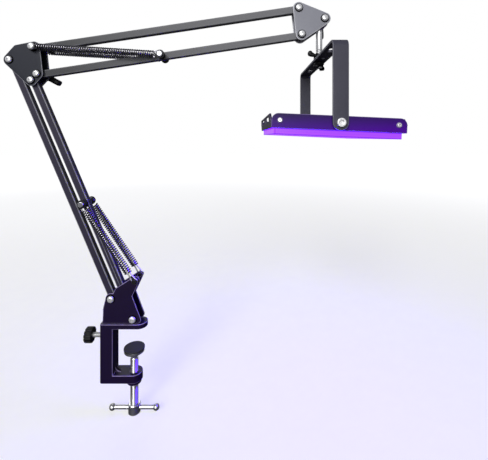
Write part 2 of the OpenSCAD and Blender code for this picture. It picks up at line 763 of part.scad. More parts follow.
// Yoke
module yoke() {
  color(black) translate([stem_x, 0, 0]) difference() {
    intersection() {
      translate([-yoke_w / 2, 0, 0]) rotate([90, 0, 90]) linear_extrude(yoke_w) difference() {
        arch(yoke_span / 2, yoke_top, yoke_bend);
        arch(yoke_span / 2 - yoke_t, yoke_under, yoke_bend - yoke_t);
      }
      side(-yoke_span, yoke_span) {
        translate([0, lamp_z]) circle(r = yoke_w / 2);
        translate([-yoke_w / 2, lamp_z]) square([yoke_w, yoke_rise + 1]);
      }
    }
    cross_pin([0, lamp_z], lamp_bolt_d / 2 + fit, -yoke_span, yoke_span);
    translate([0, 0, yoke_under - 1]) {
      cylinder(r = stem_d / 2 + fit, h = yoke_t + 2);
      for (s = [-1, 1]) {
        translate([0, s * slot_at, 0]) linear_extrude(yoke_t + 2) slot_plan();
        translate([0, s * small_hole_at, 0]) cylinder(r = small_hole_r, h = yoke_t + 2);
      }
    }
  }
}
small_hole_at = 22;
small_hole_r = 2.6;
module slot_plan() {
  run = (slot_len - slot_w) / 2;
  square([slot_w, 2 * run], center = true);
  for (s = [-1, 1]) translate([0, s * run]) circle(d = slot_w);
}
// An arch in the Y and Z plane, half as wide as half, its top at z and its corners of radius r
module arch(half, z, r) {
  bottom = lamp_z - yoke_w;
  translate([-half, bottom]) square([2 * half, z - r - bottom]);
  translate([r - half, bottom]) square([2 * (half - r), z - bottom]);
  for (s = [-1, 1]) translate([s * (half - r), z - r]) circle(r = r);
}
module yoke_wing_nut() {
  color(plastic) translate([stem_x, 0, yoke_top])
    wing_nut(yoke_wing_span, stem_d / 2 + 3, 8, stem_d / 2 + fit);
}
module yoke_lower_wing_nut() {
  color(plastic) translate([stem_x, 0, yoke_under]) rotate([180, 0, 55])
    wing_nut(yoke_wing_span - 5, stem_d / 2 + 2.5, 6, stem_d / 2 + fit);
}

// Lamp, drawn round its pivot and then tilted
module in_lamp() {
  translate([stem_x, 0, lamp_z]) rotate([0, lamp_tilt, 0]) children();
}
wall_top = lamp_w / 2 + wall_lean;
module wall_plan(s) {
  polygon([for (q = [[lamp_w / 2 - wall_t, low_h], [lamp_w / 2, low_h], [wall_top, top_h], [wall_top - wall_t, top_h]])
    [s * q[0], q[1]]]);
}
// The sloping cut at each end of the long walls
wall_end = [[shell_len / 2 + 1, 0], [shell_len / 2 - 9, top_h + 1], [shell_len / 2 + 1, top_h + 1]];
vent_len = 50;
vent_h = 5.5;
module lamp_shell() {
  boss_x = end_screw_x;
  color(black) in_lamp() difference() {
    union() {
      side(-shell_len / 2, shell_len / 2) {
        for (s = [-1, 1]) wall_plan(s);
        translate([-lamp_w / 2 + wall_t / 2, deck_z]) square([lamp_w - wall_t, deck_t]);
      }
      side(-shell_len / 2 + 20, shell_len / 2 - 20) for (i = [0:fins - 1])
        translate([(i + 0.5 - fins / 2) * (lamp_w - 22) / fins - 0.8, deck_top - 0.5])
          square([1.6, top_h - deck_top - 1]);
      for (s = [-1, 1]) scale([1, s, 1]) {
        cross_pin([0, 0], lamp_bolt_d / 2 + 2, shell_len / 2 - bolt_tip, shell_len / 2);
        for (x = [-boss_x, boss_x]) cross_pin([x, 0], 3.2, shell_len / 2 - 10, shell_len / 2);
      }
    }
    for (s = [-1, 1]) scale([1, s, 1]) {
      cross_pin([0, 0], lamp_bolt_d / 2 + seat, shell_len / 2 - bolt_tip + 2, shell_len);
      for (x = [-boss_x, boss_x]) cross_pin([x, 0], 1.5 + seat, shell_len / 2 - 8, shell_len);
      translate([0, shell_len / 4 - 5, deck_top + 1]) translate([-lamp_w, -vent_len / 2, 0])
        cube([2 * lamp_w, vent_len, vent_h]);
      translate([-lamp_bolt_d, shell_len / 2 - bolt_tip - 1, low_h - 1])
        cube([2 * lamp_bolt_d, bolt_tip + 2, deck_z - low_h + 1]);
    }
    cross_pin([gland_x, 0], gland_r + 1, shell_len / 2 - 6, shell_len);
    for (s = [-1, 1]) scale([s, 1, 1]) translate([lamp_w / 2 - 4, 0, 0]) rotate([90, 0, 90])
      linear_extrude(10) for (u = [-1, 1]) polygon([for (q = wall_end) [u * q[0], q[1]]]);
  }
}
module end_plan() {
  hull_w = lamp_w / 2 - end_r;
  for (s = [-1, 1]) translate([s * hull_w, top_h - end_r]) circle(r = end_r);
  translate([-hull_w, low_h]) square([2 * hull_w, lamp_h]);
  translate([-lamp_w / 2, low_h]) square([lamp_w, lamp_h - end_r]);
}
module end_plate(s) {
  in_lamp() scale([1, s, 1]) difference() {
    side(shell_len / 2, lamp_len / 2) end_plan();
    cross_pin([0, 0], lamp_bolt_d / 2 + seat, 0, lamp_len);
    for (x = [-end_screw_x, end_screw_x]) cross_pin([x, 0], 1.5 + seat, 0, lamp_len);
    if (s > 0) cross_pin([gland_x, 0], gland_r + seat, 0, lamp_len);
  }
}
module lamp_end_near() {
  color(black) end_plate(-1);
}
module lamp_end_far() {
  color(black) end_plate(1);
}
module lamp_screws() {
  color(steel) in_lamp() for (s = [-1, 1]) scale([1, s, 1]) for (x = [-end_screw_x, end_screw_x]) {
    cross_pin([x, 0], 1.5, shell_len / 2 - 7, lamp_len / 2);
    translate([x, lamp_len / 2, 0]) rotate([-90, 0, 0]) difference() {
      cylinder(r1 = 2.9, r2 = 2, h = 1.6);
      translate([0, 0, 0.8]) cylinder(d = 1.8, h = 2, $fn = 6);
    }
  }
}
lamp_head_h = 3.4;
module lamp_bolts() {
  color(steel) in_lamp() for (s = [-1, 1]) scale([1, s, 1]) {
    cross_pin([0, 0], lamp_bolt_d / 2, shell_len / 2 - bolt_tip + 3, yoke_span / 2);
    translate([0, yoke_span / 2, 0]) rotate([-90, 0, 0]) difference() {
      cylinder(r = lamp_bolt_d / 2 + 1.4, h = lamp_head_h);
      translate([0, 0, 1.2]) cylinder(d = 5.2, h = lamp_head_h, $fn = 6);
    }
  }
}
module lamp_washers() {
  color(plastic) in_lamp() for (s = [-1, 1]) scale([1, s, 1])
    cross_ring([0, 0], 7, lamp_bolt_d / 2 + seat, lamp_len / 2, lamp_len / 2 + lamp_gap - slack);
}

// Lens, its seal and the board behind it
lens_r = 3;
flange_h = 2;
module rounded_plan(x, y, r) {
  for (s = [-1, 1]) for (u = [-1, 1]) translate([s * (x - r), u * (y - r)]) circle(r = r);
  square([2 * x, 2 * (y - r)], center = true);
  square([2 * (x - r), 2 * y], center = true);
}
lens_x = lamp_w / 2 - lens_inset;
lens_y = lamp_len / 2 - lens_inset;
flange_x = lamp_w / 2 - wall_t - 0.3;
flange_y = shell_len / 2 - 0.3;
module lens() {
  color([0.62, 0.4, 1, 0.8]) in_lamp() difference() {
    union() {
      translate([0, 0, low_h - lens_h]) linear_extrude(lens_h) rounded_plan(lens_x, lens_y, lens_r);
      translate([0, 0, low_h]) linear_extrude(flange_h) rounded_plan(flange_x, flange_y, lens_r);
    }
    translate([0, 0, low_h - lens_h + lens_wall]) linear_extrude(lens_h + flange_h)
      rounded_plan(lens_x - lens_wall - 1, lens_y - lens_wall - 1, lens_r);
  }
}
module lens_seal() {
  color("#1c1c1c") in_lamp() translate([0, 0, low_h + flange_h]) linear_extrude(deck_z - low_h - flange_h)
    difference() {
      rounded_plan(flange_x, flange_y, lens_r);
      rounded_plan(flange_x - 3, flange_y - 3, lens_r);
    }
}
board_x = flange_x - 8;
board_y = flange_y - 16;
board_t = 1.6;
module led_board() {
  color("whitesmoke") in_lamp() translate([-board_x, -board_y, deck_z - board_t])
    cube([2 * board_x, 2 * board_y, board_t]);
}
led_w = 7;
led_t = 1.4;
module led_chips() {
  color([0.55, 0.3, 1]) in_lamp() for (i = [0:leds_x - 1]) for (k = [0:leds_y - 1])
    translate([(i + 0.5 - leds_x / 2) * 2 * board_x / leds_x - led_w / 2,
               (k + 0.5 - leds_y / 2) * 2 * board_y / leds_y - led_w / 2, deck_z - board_t - led_t])
      cube([led_w, led_w, led_t]);
}

// Cable gland
gland_r = gland_bore / 2 + 1.6;
module cable_gland() {
  color(plastic) in_lamp() translate([gland_x, lamp_len / 2, 0]) rotate([-90, 0, 0]) difference() {
    union() {
      translate([0, 0, -end_t]) cylinder(r = gland_r, h = end_t + 1);
      cylinder(d = 14.4, h = 4, $fn = 6);
      translate([0, 0, 4]) cylinder(r1 = 6.2, r2 = 5, h = 8);
    }
    translate([0, 0, -6]) cylinder(d = gland_bore, h = 20);
  }
}

clamp_frame();
thrust_washer();
pad_cup();
pad_face();
clamp_screw();
tommy_bar();
lock_screw();
lock_knob();
base_bracket();
swivel_post();
ear_studs();
base_bolts();
base_nuts();
base_washers();
lower_bar_left();
lower_left_plugs();
lower_bar_right();
lower_right_plugs();
lower_anchor_bolt();
lower_anchor_sleeves();
lower_spring_near();
lower_spring_far();
lower_spring_hooks();
elbow_plate_near();
elbow_plate_far();
elbow_bolts();
elbow_nuts();
elbow_washers();
elbow_wing_nut();
upper_bar_top();
upper_top_plugs();
upper_bar_bottom();
upper_bottom_plugs();
upper_anchor_bolt();
upper_anchor_sleeves();
upper_spring_near();
upper_spring_far();
upper_spring_hooks();
head_plate_near();
head_plate_far();
head_bolts();
head_nuts();
head_washers();
head_wing_nut();
stem_knuckle();
stem_rod();
yoke();
yoke_wing_nut();
yoke_lower_wing_nut();
lamp_shell();
lamp_end_near();
lamp_end_far();
lamp_screws();
lamp_bolts();
lamp_washers();
lens();
lens_seal();
led_board();
led_chips();
cable_gland();
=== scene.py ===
# %% [markdown]
# # A desk-clamped spring arm with a flat UV lamp
# This lesson dresses a finished CAD model as the real product looks: a black twin-bar arm on a table clamp,
# with two pairs of springs, bright pivot bolts, black wing nuts, and a slim lamp in a bent yoke. The CAD
# model is the frame. It gives the places and the sizes, and each piece made here, apart from the springs'
# turns, rides on one of its bodies.

# %% Load the frame
import json
import math

import bmesh
import bpy
from mathutils import Matrix, Vector
from mathutils.bvhtree import BVHTree


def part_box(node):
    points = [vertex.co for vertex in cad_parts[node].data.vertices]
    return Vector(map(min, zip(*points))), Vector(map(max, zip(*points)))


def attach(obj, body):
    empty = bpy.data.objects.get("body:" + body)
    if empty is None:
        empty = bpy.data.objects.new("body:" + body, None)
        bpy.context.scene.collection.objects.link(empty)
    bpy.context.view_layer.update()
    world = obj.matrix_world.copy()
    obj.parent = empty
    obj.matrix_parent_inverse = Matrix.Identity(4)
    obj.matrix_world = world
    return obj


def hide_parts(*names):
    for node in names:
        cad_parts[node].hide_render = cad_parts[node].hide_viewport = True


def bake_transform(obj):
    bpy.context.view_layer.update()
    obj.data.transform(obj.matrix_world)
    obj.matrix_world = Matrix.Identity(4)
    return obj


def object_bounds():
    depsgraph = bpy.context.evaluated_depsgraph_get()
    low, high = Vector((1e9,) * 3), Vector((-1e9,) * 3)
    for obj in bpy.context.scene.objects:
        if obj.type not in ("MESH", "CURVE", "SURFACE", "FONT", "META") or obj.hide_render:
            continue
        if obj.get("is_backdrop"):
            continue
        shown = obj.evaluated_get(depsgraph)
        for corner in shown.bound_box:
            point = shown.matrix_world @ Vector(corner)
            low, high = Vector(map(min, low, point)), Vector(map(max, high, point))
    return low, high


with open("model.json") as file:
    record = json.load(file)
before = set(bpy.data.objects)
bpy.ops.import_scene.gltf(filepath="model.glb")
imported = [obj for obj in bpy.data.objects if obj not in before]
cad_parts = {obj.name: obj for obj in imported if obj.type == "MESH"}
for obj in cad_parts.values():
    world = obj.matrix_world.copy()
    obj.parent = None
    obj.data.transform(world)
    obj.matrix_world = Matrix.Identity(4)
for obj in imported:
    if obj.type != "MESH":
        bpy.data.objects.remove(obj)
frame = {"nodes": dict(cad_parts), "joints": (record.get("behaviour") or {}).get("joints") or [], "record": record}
cad_low, cad_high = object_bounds()
nodes = frame["nodes"]
joint_at = {j["name"]: Vector(j["pos_m"]) for j in frame["joints"] if j.get("pos_m")}
body_of_node = {n: b for b, names in frame["record"]["behaviour"]["bodies"].items() for n in names}
slot_of_node = {s["node"]: s["material_slot"] for s in frame["record"]["subparts"]}
MM = 0.001
print("CAD nodes:", len(nodes), "box in mm:", [round(v / MM) for v in cad_high - cad_low])

# %% [markdown]
# ## Helpers for objects and node trees
# Every object made here is linked to the scene in the same way. The world, the finishes and the Geometry
# Nodes are all trees of nodes, so one helper adds a node, sets it, and fills its inputs, each with a value or
# with a link to another node's output. A tree then reads as a list of what it does.


# %% Adding objects, nodes and groups
def add_object(name, data):
    made = bpy.data.objects.new(name, data)
    bpy.context.scene.collection.objects.link(made)
    return made


def feed(tree, socket, value):
    """Gives an input a value, or links it to another node's output."""
    if isinstance(value, bpy.types.NodeSocket):
        tree.links.new(value, socket)
    else:
        socket.default_value = value


def add_node(tree, kind, inputs=None, **settings):
    """Adds a node with these settings, and feeds its inputs by name or by number."""
    made = tree.nodes.new(kind)
    for label, value in settings.items():
        setattr(made, label, value)
    for label, value in (inputs or {}).items():
        feed(tree, made.inputs[label], value)
    return made


def multiply(tree, a, b):
    return add_node(tree, "ShaderNodeMath", {0: a, 1: b}, operation="MULTIPLY").outputs[0]


def ramp(tree, value, ends, **settings):
    """The value, mapped from one range to another. ends names what differs from 0 to 1."""
    return add_node(tree, "ShaderNodeMapRange", {"Value": value, **ends}, **settings).outputs["Result"]


def camera_ray(tree):
    """1 where the camera looks straight at the surface, and 0 for light that bounces off it."""
    return add_node(tree, "ShaderNodeLightPath").outputs["Is Camera Ray"]


def new_group(name, kind, inputs, outputs):
    """A node group with these sockets: label, kind and, for an input, its value or None."""
    tree = bpy.data.node_groups.new(name, kind)
    for label, socket_kind, value in inputs:
        socket = tree.interface.new_socket(label, in_out="INPUT", socket_type="NodeSocket" + socket_kind)
        if value is not None:
            socket.default_value = value
    for label, socket_kind in outputs:
        tree.interface.new_socket(label, in_out="OUTPUT", socket_type="NodeSocket" + socket_kind)
    return tree, tree.nodes.new("NodeGroupInput"), tree.nodes.new("NodeGroupOutput")


print("helpers: add_object, feed, add_node, multiply, ramp, camera_ray, new_group")

# %% [markdown]
# ## Camera, light and floor
# The photograph was taken level with the arm, from close by, with a wide lens, so the camera looks straight
# along +Y and its frame is shifted down instead of being tilted. Tilting would make the lamp's upright stem
# lean. A soft sun behind the camera brightens every face turned to the viewer, while sides and undersides
# see only the dim world and stay black. The world and the floor look white to the camera but light the arm
# weakly.

# %% Camera
PHOTO_WIDTH = 488
FOCAL_PX = 337
SHIFT_DOWN_PX = 93
SENSOR_MM = 36
camera_data = bpy.data.cameras.new("view")
camera_data.sensor_width = SENSOR_MM
camera_data.lens = SENSOR_MM * FOCAL_PX / PHOTO_WIDTH
camera_data.shift_y = -SHIFT_DOWN_PX / PHOTO_WIDTH
camera = add_object("view", camera_data)
camera.location = Vector((144, -432, 241)) * MM
camera.rotation_euler = (math.radians(90), 0, 0)
bpy.context.scene.camera = camera
print("lens in mm:", round(camera_data.lens, 1))


# %% Lights
def hang(data, towards, place=(0, 0, 0)):
    """Puts a light at place, shining in the direction towards."""
    light = add_object(data.name, data)
    light.location = place
    light.rotation_euler = Vector(towards).to_track_quat("-Z", "Y").to_euler()


def soft_card(name, place, target, size, watts, colour):
    """A round glowing card, aimed at a point of the arm."""
    data = bpy.data.lights.new(name, "AREA")
    data.shape = "DISK"
    data.size = size
    data.energy = watts
    data.color = colour
    hang(data, Vector(target) - Vector(place), place)


def soft_sun(name, towards, width_degrees, strength):
    """Even light from far away, so the floor is as bright near the camera as far from it."""
    data = bpy.data.lights.new(name, "SUN")
    data.angle = math.radians(width_degrees)
    data.energy = strength
    hang(data, towards)


soft_sun("key", (0.42, 1.0, -0.62), 20, 1.7)
soft_card("card", (-0.1, -2.0, 0.55), (0.1, 0, 0.25), 1.5, 17.0, (1, 1, 1))
soft_card("back", (-0.6, 1.2, 1.0), (0.1, 0, 0.2), 0.8, 4.0, (0.95, 0.96, 1))
print("lights:", len(bpy.data.lights))

# %% World and floor
world = bpy.data.worlds.new("studio")
bpy.context.scene.world = world
world.use_nodes = True
air = world.node_tree
around = air.nodes["Background"]
around.inputs["Color"].default_value = (0.9, 0.92, 1, 1)
around.inputs["Strength"].default_value = 0.24
seen = add_node(air, "ShaderNodeBackground", {"Color": (1, 1, 1, 1), "Strength": 1.0})
either = add_node(air, "ShaderNodeMixShader", {
    "Fac": camera_ray(air), 1: around.outputs[0], 2: seen.outputs[0]})
feed(air, air.nodes["World Output"].inputs["Surface"], either.outputs[0])

# Plain sRGB keeps the lamp's violet strong and the white world white.
bpy.context.scene.view_settings.view_transform = "Standard"

HALF_FLOOR = 6.0
FLOOR_GAP = 0.0005
floor_z = cad_low.z - FLOOR_GAP
corners = [(x * HALF_FLOOR, y * HALF_FLOOR, floor_z) for x, y in ((-1, -1), (1, -1), (1, 1), (-1, 1))]
floor_mesh = bpy.data.meshes.new("floor")
floor_mesh.from_pydata(corners, [], [(0, 1, 2, 3)])
floor = add_object("floor", floor_mesh)
floor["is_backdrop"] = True
print("floor at", round(floor_z / MM, 1), "mm")

# %% [markdown]
# ## Two effects that the finishes share
# Powder coat, moulded plastic and plated steel all need a fine grain, and every edge gets a painted
# highlight, a lighter colour that stands for the light a round edge catches. Each effect is a node group
# with named sockets, so one recipe serves every finish with its
# own values. The groups give out masks and heights only, and the shaders stay in the materials.


# %% Node groups for grain and painted edge highlights
def grain_group():
    """Fine noise for the bump, and broad noise for patches of colour and gloss."""
    tree, ins, outs = new_group(
        "Grain", "ShaderNodeTree",
        [("Vector", "Vector", None), ("Scale", "Float", 900.0), ("Clouds", "Float", 30.0)],
        [("Height", "Float"), ("Patches", "Float")])
    for size, detail, result in (("Scale", 3, "Height"), ("Clouds", 4, "Patches")):
        noise = add_node(tree, "ShaderNodeTexNoise", {
            "Vector": ins.outputs["Vector"], "Scale": ins.outputs[size], "Detail": detail})
        feed(tree, outs.inputs[result], noise.outputs["Fac"])
    return tree


def edge_highlight_group():
    """The mask of the rounded edges that get a painted highlight, uneven along their length."""
    tree, ins, outs = new_group(
        "Edge wear", "ShaderNodeTree",
        [("Vector", "Vector", None), ("Rim", "Float", 0.0), ("Scale", "Float", 90.0),
         ("Least", "Float", 0.55)], [("Mask", "Float")])
    uneven = add_node(tree, "ShaderNodeTexNoise", {
        "Vector": ins.outputs["Vector"], "Scale": ins.outputs["Scale"], "Detail": 5})
    level = ramp(tree, uneven.outputs["Fac"], {
        "From Min": 0.35, "From Max": 0.6, "To Min": ins.outputs["Least"]})
    feed(tree, outs.inputs["Mask"], multiply(tree, ins.outputs["Rim"], level))
    return tree


GRAIN = grain_group()
EDGES = edge_highlight_group()
print("groups:", GRAIN.name, "and", EDGES.name)

# %% [markdown]
# ## The finishes
# A finish is a Principled shader with a few things on top: patches that change the colour and the gloss
# slightly, a fine grain as bump, a painted highlight on rounded edges, and painted shade, a dark colour in
# narrow recesses such as sockets and the gaps between a spring's turns. Two finishes also paint light along
# the piece: the upper bars are painted lighter towards the head, and the lamp's end plates more violet
# towards the window. One function builds them all, and a finish is then a row of values. The coats differ by
# part: the upper bars and the head are coloured grey as painted reflection, and the lower bars, the base and
# the lamp are tinted with painted violet light.

# %% A function for coated, moulded and metal finishes
# Painted shade: the dark colour that recesses are darkened to, where little light reaches.
PAINTED_SHADE = (0.004, 0.004, 0.005, 1)


def mix(tree, factor, a, b):
    """The colour that lies between a and b by this factor."""
    made = add_node(tree, "ShaderNodeMix", {"Factor": factor, "A": a, "B": b}, data_type="RGBA")
    return made.outputs["Result"]


def finish(name, base, rough, metal=0.0, edge=None, painted_highlight=0.0, grain=900.0, bump=0.02, patches=0.12, shine=0.5,
           painted_shade_mm=0.0, painted_light_fade=None):
    """A material. bump is the grain's height and hollows the reach of the painted shade in recesses, both in mm.
    edge and wear are the colour and the strength of the painted highlight on round edges. fade is painted
    light: an axis, where the change starts and ends on it in m, and the base colour before it."""
    material = bpy.data.materials.new(name)
    material.use_nodes = True
    tree = material.node_tree
    where = add_node(tree, "ShaderNodeTexCoord").outputs["Object"]
    texture = add_node(tree, "ShaderNodeGroup", {"Vector": where, "Scale": grain}, node_tree=GRAIN)
    cloudy = texture.outputs["Patches"]
    gloss = ramp(tree, cloudy, {
        "To Min": max(0.02, rough - patches / 2), "To Max": min(1.0, rough + patches / 2)})
    darker = [c * (1 - patches) for c in base] + [1]
    lighter = [min(1, c * (1 + patches)) for c in base] + [1]
    colour = mix(tree, cloudy, darker, lighter)
    # Painted light: the base colour changes along one axis of the piece, where more or less light would fall.
    if painted_light_fade:
        axis, start, end, start_base = painted_light_fade
        split = add_node(tree, "ShaderNodeSeparateXYZ", {"Vector": where})
        along = ramp(tree, split.outputs[axis], {"From Min": start, "From Max": end})
        colour = mix(tree, along, (*start_base, 1), colour)
    # Painted highlight: the round edges are coloured lighter, unevenly along their length, as if they caught the
    # light.
    if painted_highlight > 0:
        rim = add_node(tree, "ShaderNodeAttribute", attribute_name="rim")
        lit_edge = add_node(tree, "ShaderNodeGroup", {
            "Vector": where, "Rim": rim.outputs["Fac"]}, node_tree=EDGES)
        colour = mix(tree, multiply(tree, lit_edge.outputs["Mask"], painted_highlight), colour, (*edge, 1))
    # Painted shade: where ambient occlusion finds the surface enclosed, the colour is darkened.
    if painted_shade_mm > 0:
        open_sky = add_node(tree, "ShaderNodeAmbientOcclusion", {"Distance": painted_shade_mm * MM}, samples=8)
        shade = ramp(tree, open_sky.outputs["AO"], {"From Min": 0.35, "From Max": 0.85, "To Min": 0.04})
        colour = mix(tree, shade, PAINTED_SHADE, colour)
    relief = add_node(tree, "ShaderNodeBump", {
        "Strength": 1.0, "Distance": bump * MM, "Height": texture.outputs["Height"]})
    shader = tree.nodes["Principled BSDF"]
    shader.inputs["Metallic"].default_value = metal
    shader.inputs["Specular IOR Level"].default_value = shine
    feed(tree, shader.inputs["Base Color"], colour)
    feed(tree, shader.inputs["Roughness"], gloss)
    feed(tree, shader.inputs["Normal"], relief.outputs["Normal"])
    return material


# %% The finishes of this arm and lamp
# The edge colours below are painted highlights: lighter colours on the round edges that stand for the light they
# catch.
RIM_HIGHLIGHT = (0.40, 0.40, 0.44)
lamp_low, lamp_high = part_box("lamp_end_near")
FINISH = {
    # Painted reflection and painted light: the upper bars are coloured grey for the bright surroundings they
    # reflect, and darker towards the elbow than at the head.
    "bars upper": finish(
        "grey-black coat of the upper bars", (0.160, 0.159, 0.170), 0.46, edge=(0.3, 0.3, 0.32), painted_highlight=0.6,
        shine=0.3, painted_light_fade=("X", -0.08, 0.20, (0.045, 0.046, 0.050))),
    # Painted violet light: a violet tint in the lower bars' black, as the lamp's light would give.
    "bars lower": finish(
        "black coat of the lower bars", (0.024, 0.020, 0.040), 0.42, edge=RIM_HIGHLIGHT, painted_highlight=0.9, shine=0.3),
    "elbow": finish(
        "blue-black coat of the elbow", (0.018, 0.020, 0.030), 0.44, edge=RIM_HIGHLIGHT, painted_highlight=0.9, shine=0.22),
    # Painted reflection: the head's plates are coloured grey for the bright surroundings they reflect.
    "head": finish(
        "satin grey coat of the head", (0.235, 0.238, 0.275), 0.40, edge=(0.70, 0.70, 0.74), painted_highlight=1.0),
    # Painted violet light: the base's black and its edge highlight are tinted violet, as the lamp's light would
    # give.
    "base": finish(
        "deep black coat of the base", (0.009, 0.0035, 0.025), 0.42, edge=(0.32, 0.26, 0.50), painted_highlight=0.9,
        shine=0.22),
    "yoke": finish(
        "black coat of the yoke", (0.046, 0.045, 0.066), 0.42, edge=(0.24, 0.24, 0.28), painted_highlight=0.7,
        shine=0.35),
    # Painted violet light: the lamp's black and its edge highlight are tinted violet, and its end plates are
    # painted more violet towards the window.
    "lamp": finish(
        "violet-black coat of the lamp", (0.016, 0.006, 0.055), 0.38, edge=(0.24, 0.18, 0.40), painted_highlight=0.8,
        shine=0.16, painted_light_fade=("Z", lamp_low.z, lamp_high.z, (0.072, 0.0005, 0.32))),
    # Painted violet light: a violet tint in the shell's black.
    "shell": finish(
        "black coat of the lamp's shell", (0.014, 0.010, 0.034), 0.4, edge=(0.22, 0.18, 0.34), painted_highlight=0.8,
        shine=0.25),
    "plastic": finish(
        "black moulded plastic", (0.004, 0.004, 0.005), 0.46, edge=(0.05, 0.05, 0.055), painted_highlight=0.5,
        grain=1500, bump=0.03, shine=0.3),
    "washer": finish("black nylon", (0.0015, 0.0015, 0.0015), 0.6, grain=1500, bump=0.02, shine=0.04),
    # Painted shade: the plated heads' sockets, the dull steel's recesses and the gaps between the spring's turns
    # are darkened where ambient occlusion finds them enclosed.
    "chrome": finish(
        "bright plating", (0.95, 0.95, 0.96), 0.28, metal=0.62, grain=300, bump=0.002, patches=0.12,
        painted_shade_mm=1.0),
    "zinc": finish(
        "zinc plating", (0.70, 0.70, 0.70), 0.34, metal=1.0, edge=(0.9, 0.9, 0.9), painted_highlight=0.5, grain=700,
        bump=0.008, patches=0.16),
    "steel": finish("dull steel", (0.40, 0.40, 0.42), 0.30, metal=1.0, grain=700, bump=0.006, painted_shade_mm=2.0),
    "spring": finish(
        "oiled black spring wire", (0.30, 0.29, 0.32), 0.17, metal=1.0, grain=1600, bump=0.004,
        painted_shade_mm=3.0),
    "rubber": finish("ribbed black rubber", (0.018, 0.018, 0.018), 0.75, grain=500, bump=0.06),
    "seal": finish(
        "black seal in violet light", (0.003, 0.0004, 0.008), 0.8, grain=500, bump=0.02, shine=0.02),
    "board": finish("white solder mask", (0.80, 0.80, 0.82), 0.5, grain=600, bump=0.01, patches=0.05),
}
print("finishes:", len(FINISH))

# %% [markdown]
# ## What glows
# The lamp's window is lit from inside. In the photograph it is an even violet with fine dark edges, and it
# colours what is near it. One shader does both: Light Path tells whether the camera looks at the surface or
# the surface lights something else, and each of the two has its own colour and strength. The floor uses the
# same trick to look pale without lighting the arm from below, and far away it turns white, like a studio
# sweep.

# %% The glowing window and the emitters
VIOLET = (0.07, 0.0, 1.0)
WHITE = (1, 1, 1)


def glow(name, base, light, seen_as, thrown, cast, rough, alpha=1.0):
    """A surface that looks light times seen_as to the camera, and lights the rest by thrown times cast."""
    material = finish(name, base, rough, grain=200, bump=0.01, patches=0.06, shine=0.2)
    tree = material.node_tree
    in_view = camera_ray(tree)
    edge = add_node(tree, "ShaderNodeAttribute", attribute_name="rim")
    edge_line = (light[0] * 0.3, light[1] * 0.1, light[2] * 0.42, 1)
    outlined = mix(tree, edge.outputs["Fac"], (*light, 1), edge_line)
    shader = tree.nodes["Principled BSDF"]
    shader.inputs["Alpha"].default_value = alpha
    feed(tree, shader.inputs["Emission Color"], mix(tree, in_view, (*thrown, 1), outlined))
    feed(tree, shader.inputs["Emission Strength"], ramp(tree, in_view, {"To Min": cast, "To Max": seen_as}))
    return material


FINISH["window"] = glow(
    "violet-lit window", (0.012, 0.004, 0.10), (0.42, 0.075, 1.0), 0.95, VIOLET, 24.0, 0.2, alpha=0.97)
FINISH["emitter"] = glow("violet emitter", (0.5, 0.3, 1.0), VIOLET, 6.0, VIOLET, 40.0, 0.3)
print("glow added:", len(FINISH))


# %% The floor's finish
def floor_finish(unseen=(0.04, 0.04, 0.04, 1), sweep_from=0.5, sweep_to=3.0, sweep_gain=0.3):
    """Pale to the camera and dark to all else, and brighter between the two distances in m from the arm."""
    material = glow("pale lit floor", (0.42, 0.42, 0.43), WHITE, 0.56, WHITE, 0.0, 0.8)
    tree = material.node_tree
    shader = tree.nodes["Principled BSDF"]
    base, strength = shader.inputs["Base Color"], shader.inputs["Emission Strength"]
    in_view = camera_ray(tree)
    feed(tree, base, mix(tree, in_view, unseen, base.links[0].from_socket))
    spot = add_node(tree, "ShaderNodeTexCoord")
    away = add_node(tree, "ShaderNodeVectorMath", {0: spot.outputs["Object"]}, operation="LENGTH")
    sweep = ramp(tree, away.outputs["Value"], {
        "From Min": sweep_from, "From Max": sweep_to, "To Max": sweep_gain}, interpolation_type="SMOOTHSTEP")
    total = add_node(tree, "ShaderNodeMath", {
        0: strength.links[0].from_socket, 1: multiply(tree, sweep, in_view)}, operation="ADD")
    feed(tree, strength, total.outputs[0])
    return material


FINISH["floor"] = floor_finish()
floor.data.materials.append(FINISH["floor"])
print("floor finish:", FINISH["floor"].name)

# %% [markdown]
# ## A finer copy of a CAD node
# Most pieces of the arm are cut, bent or drawn metal, and the CAD shape is already right, but its edges are
# perfectly sharp, and a sharp edge never catches the light. So each such node is copied, its loose triangles
# are joined, flat areas become one face again, and every real edge is rounded by a fraction of a millimetre.
# The new round strips are marked in an attribute called rim, which the finishes read for their painted edge
# highlights.


# %% Helpers for pieces
def plain_mesh(piece):
    """What the piece is with its modifiers, as a plain mesh. The piece itself goes."""
    mesh = bpy.data.meshes.new_from_object(piece.evaluated_get(bpy.context.evaluated_depsgraph_get()))
    bpy.data.objects.remove(piece)
    return mesh


def smooth(mesh, degrees=35):
    """Shades the mesh smooth, apart from edges sharper than this."""
    mesh.polygons.foreach_set("use_smooth", [True] * len(mesh.polygons))
    mesh.set_sharp_from_angle(angle=math.radians(degrees))
    mesh.update()


def paint(piece, finish_name):
    piece.data.materials.clear()
    piece.data.materials.append(FINISH[finish_name])


def settle(piece, body, finish_name, slot, *replaced):
    """Gives a piece its finish and its body, and hides the CAD nodes that it stands for. slot is not used."""
    paint(piece, finish_name)
    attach(piece, body)
    if replaced:
        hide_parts(*replaced)
    return piece


def placed(mesh, place):
    mesh.transform(place)
    return mesh


def mount(name, mesh, body, finish_name, slot, *replaced, place=Matrix(), degrees=35):
    """Puts a mesh in its place on the arm and makes it a settled piece."""
    smooth(placed(mesh, place), degrees)
    return settle(add_object(name, mesh), body, finish_name, slot, *replaced)


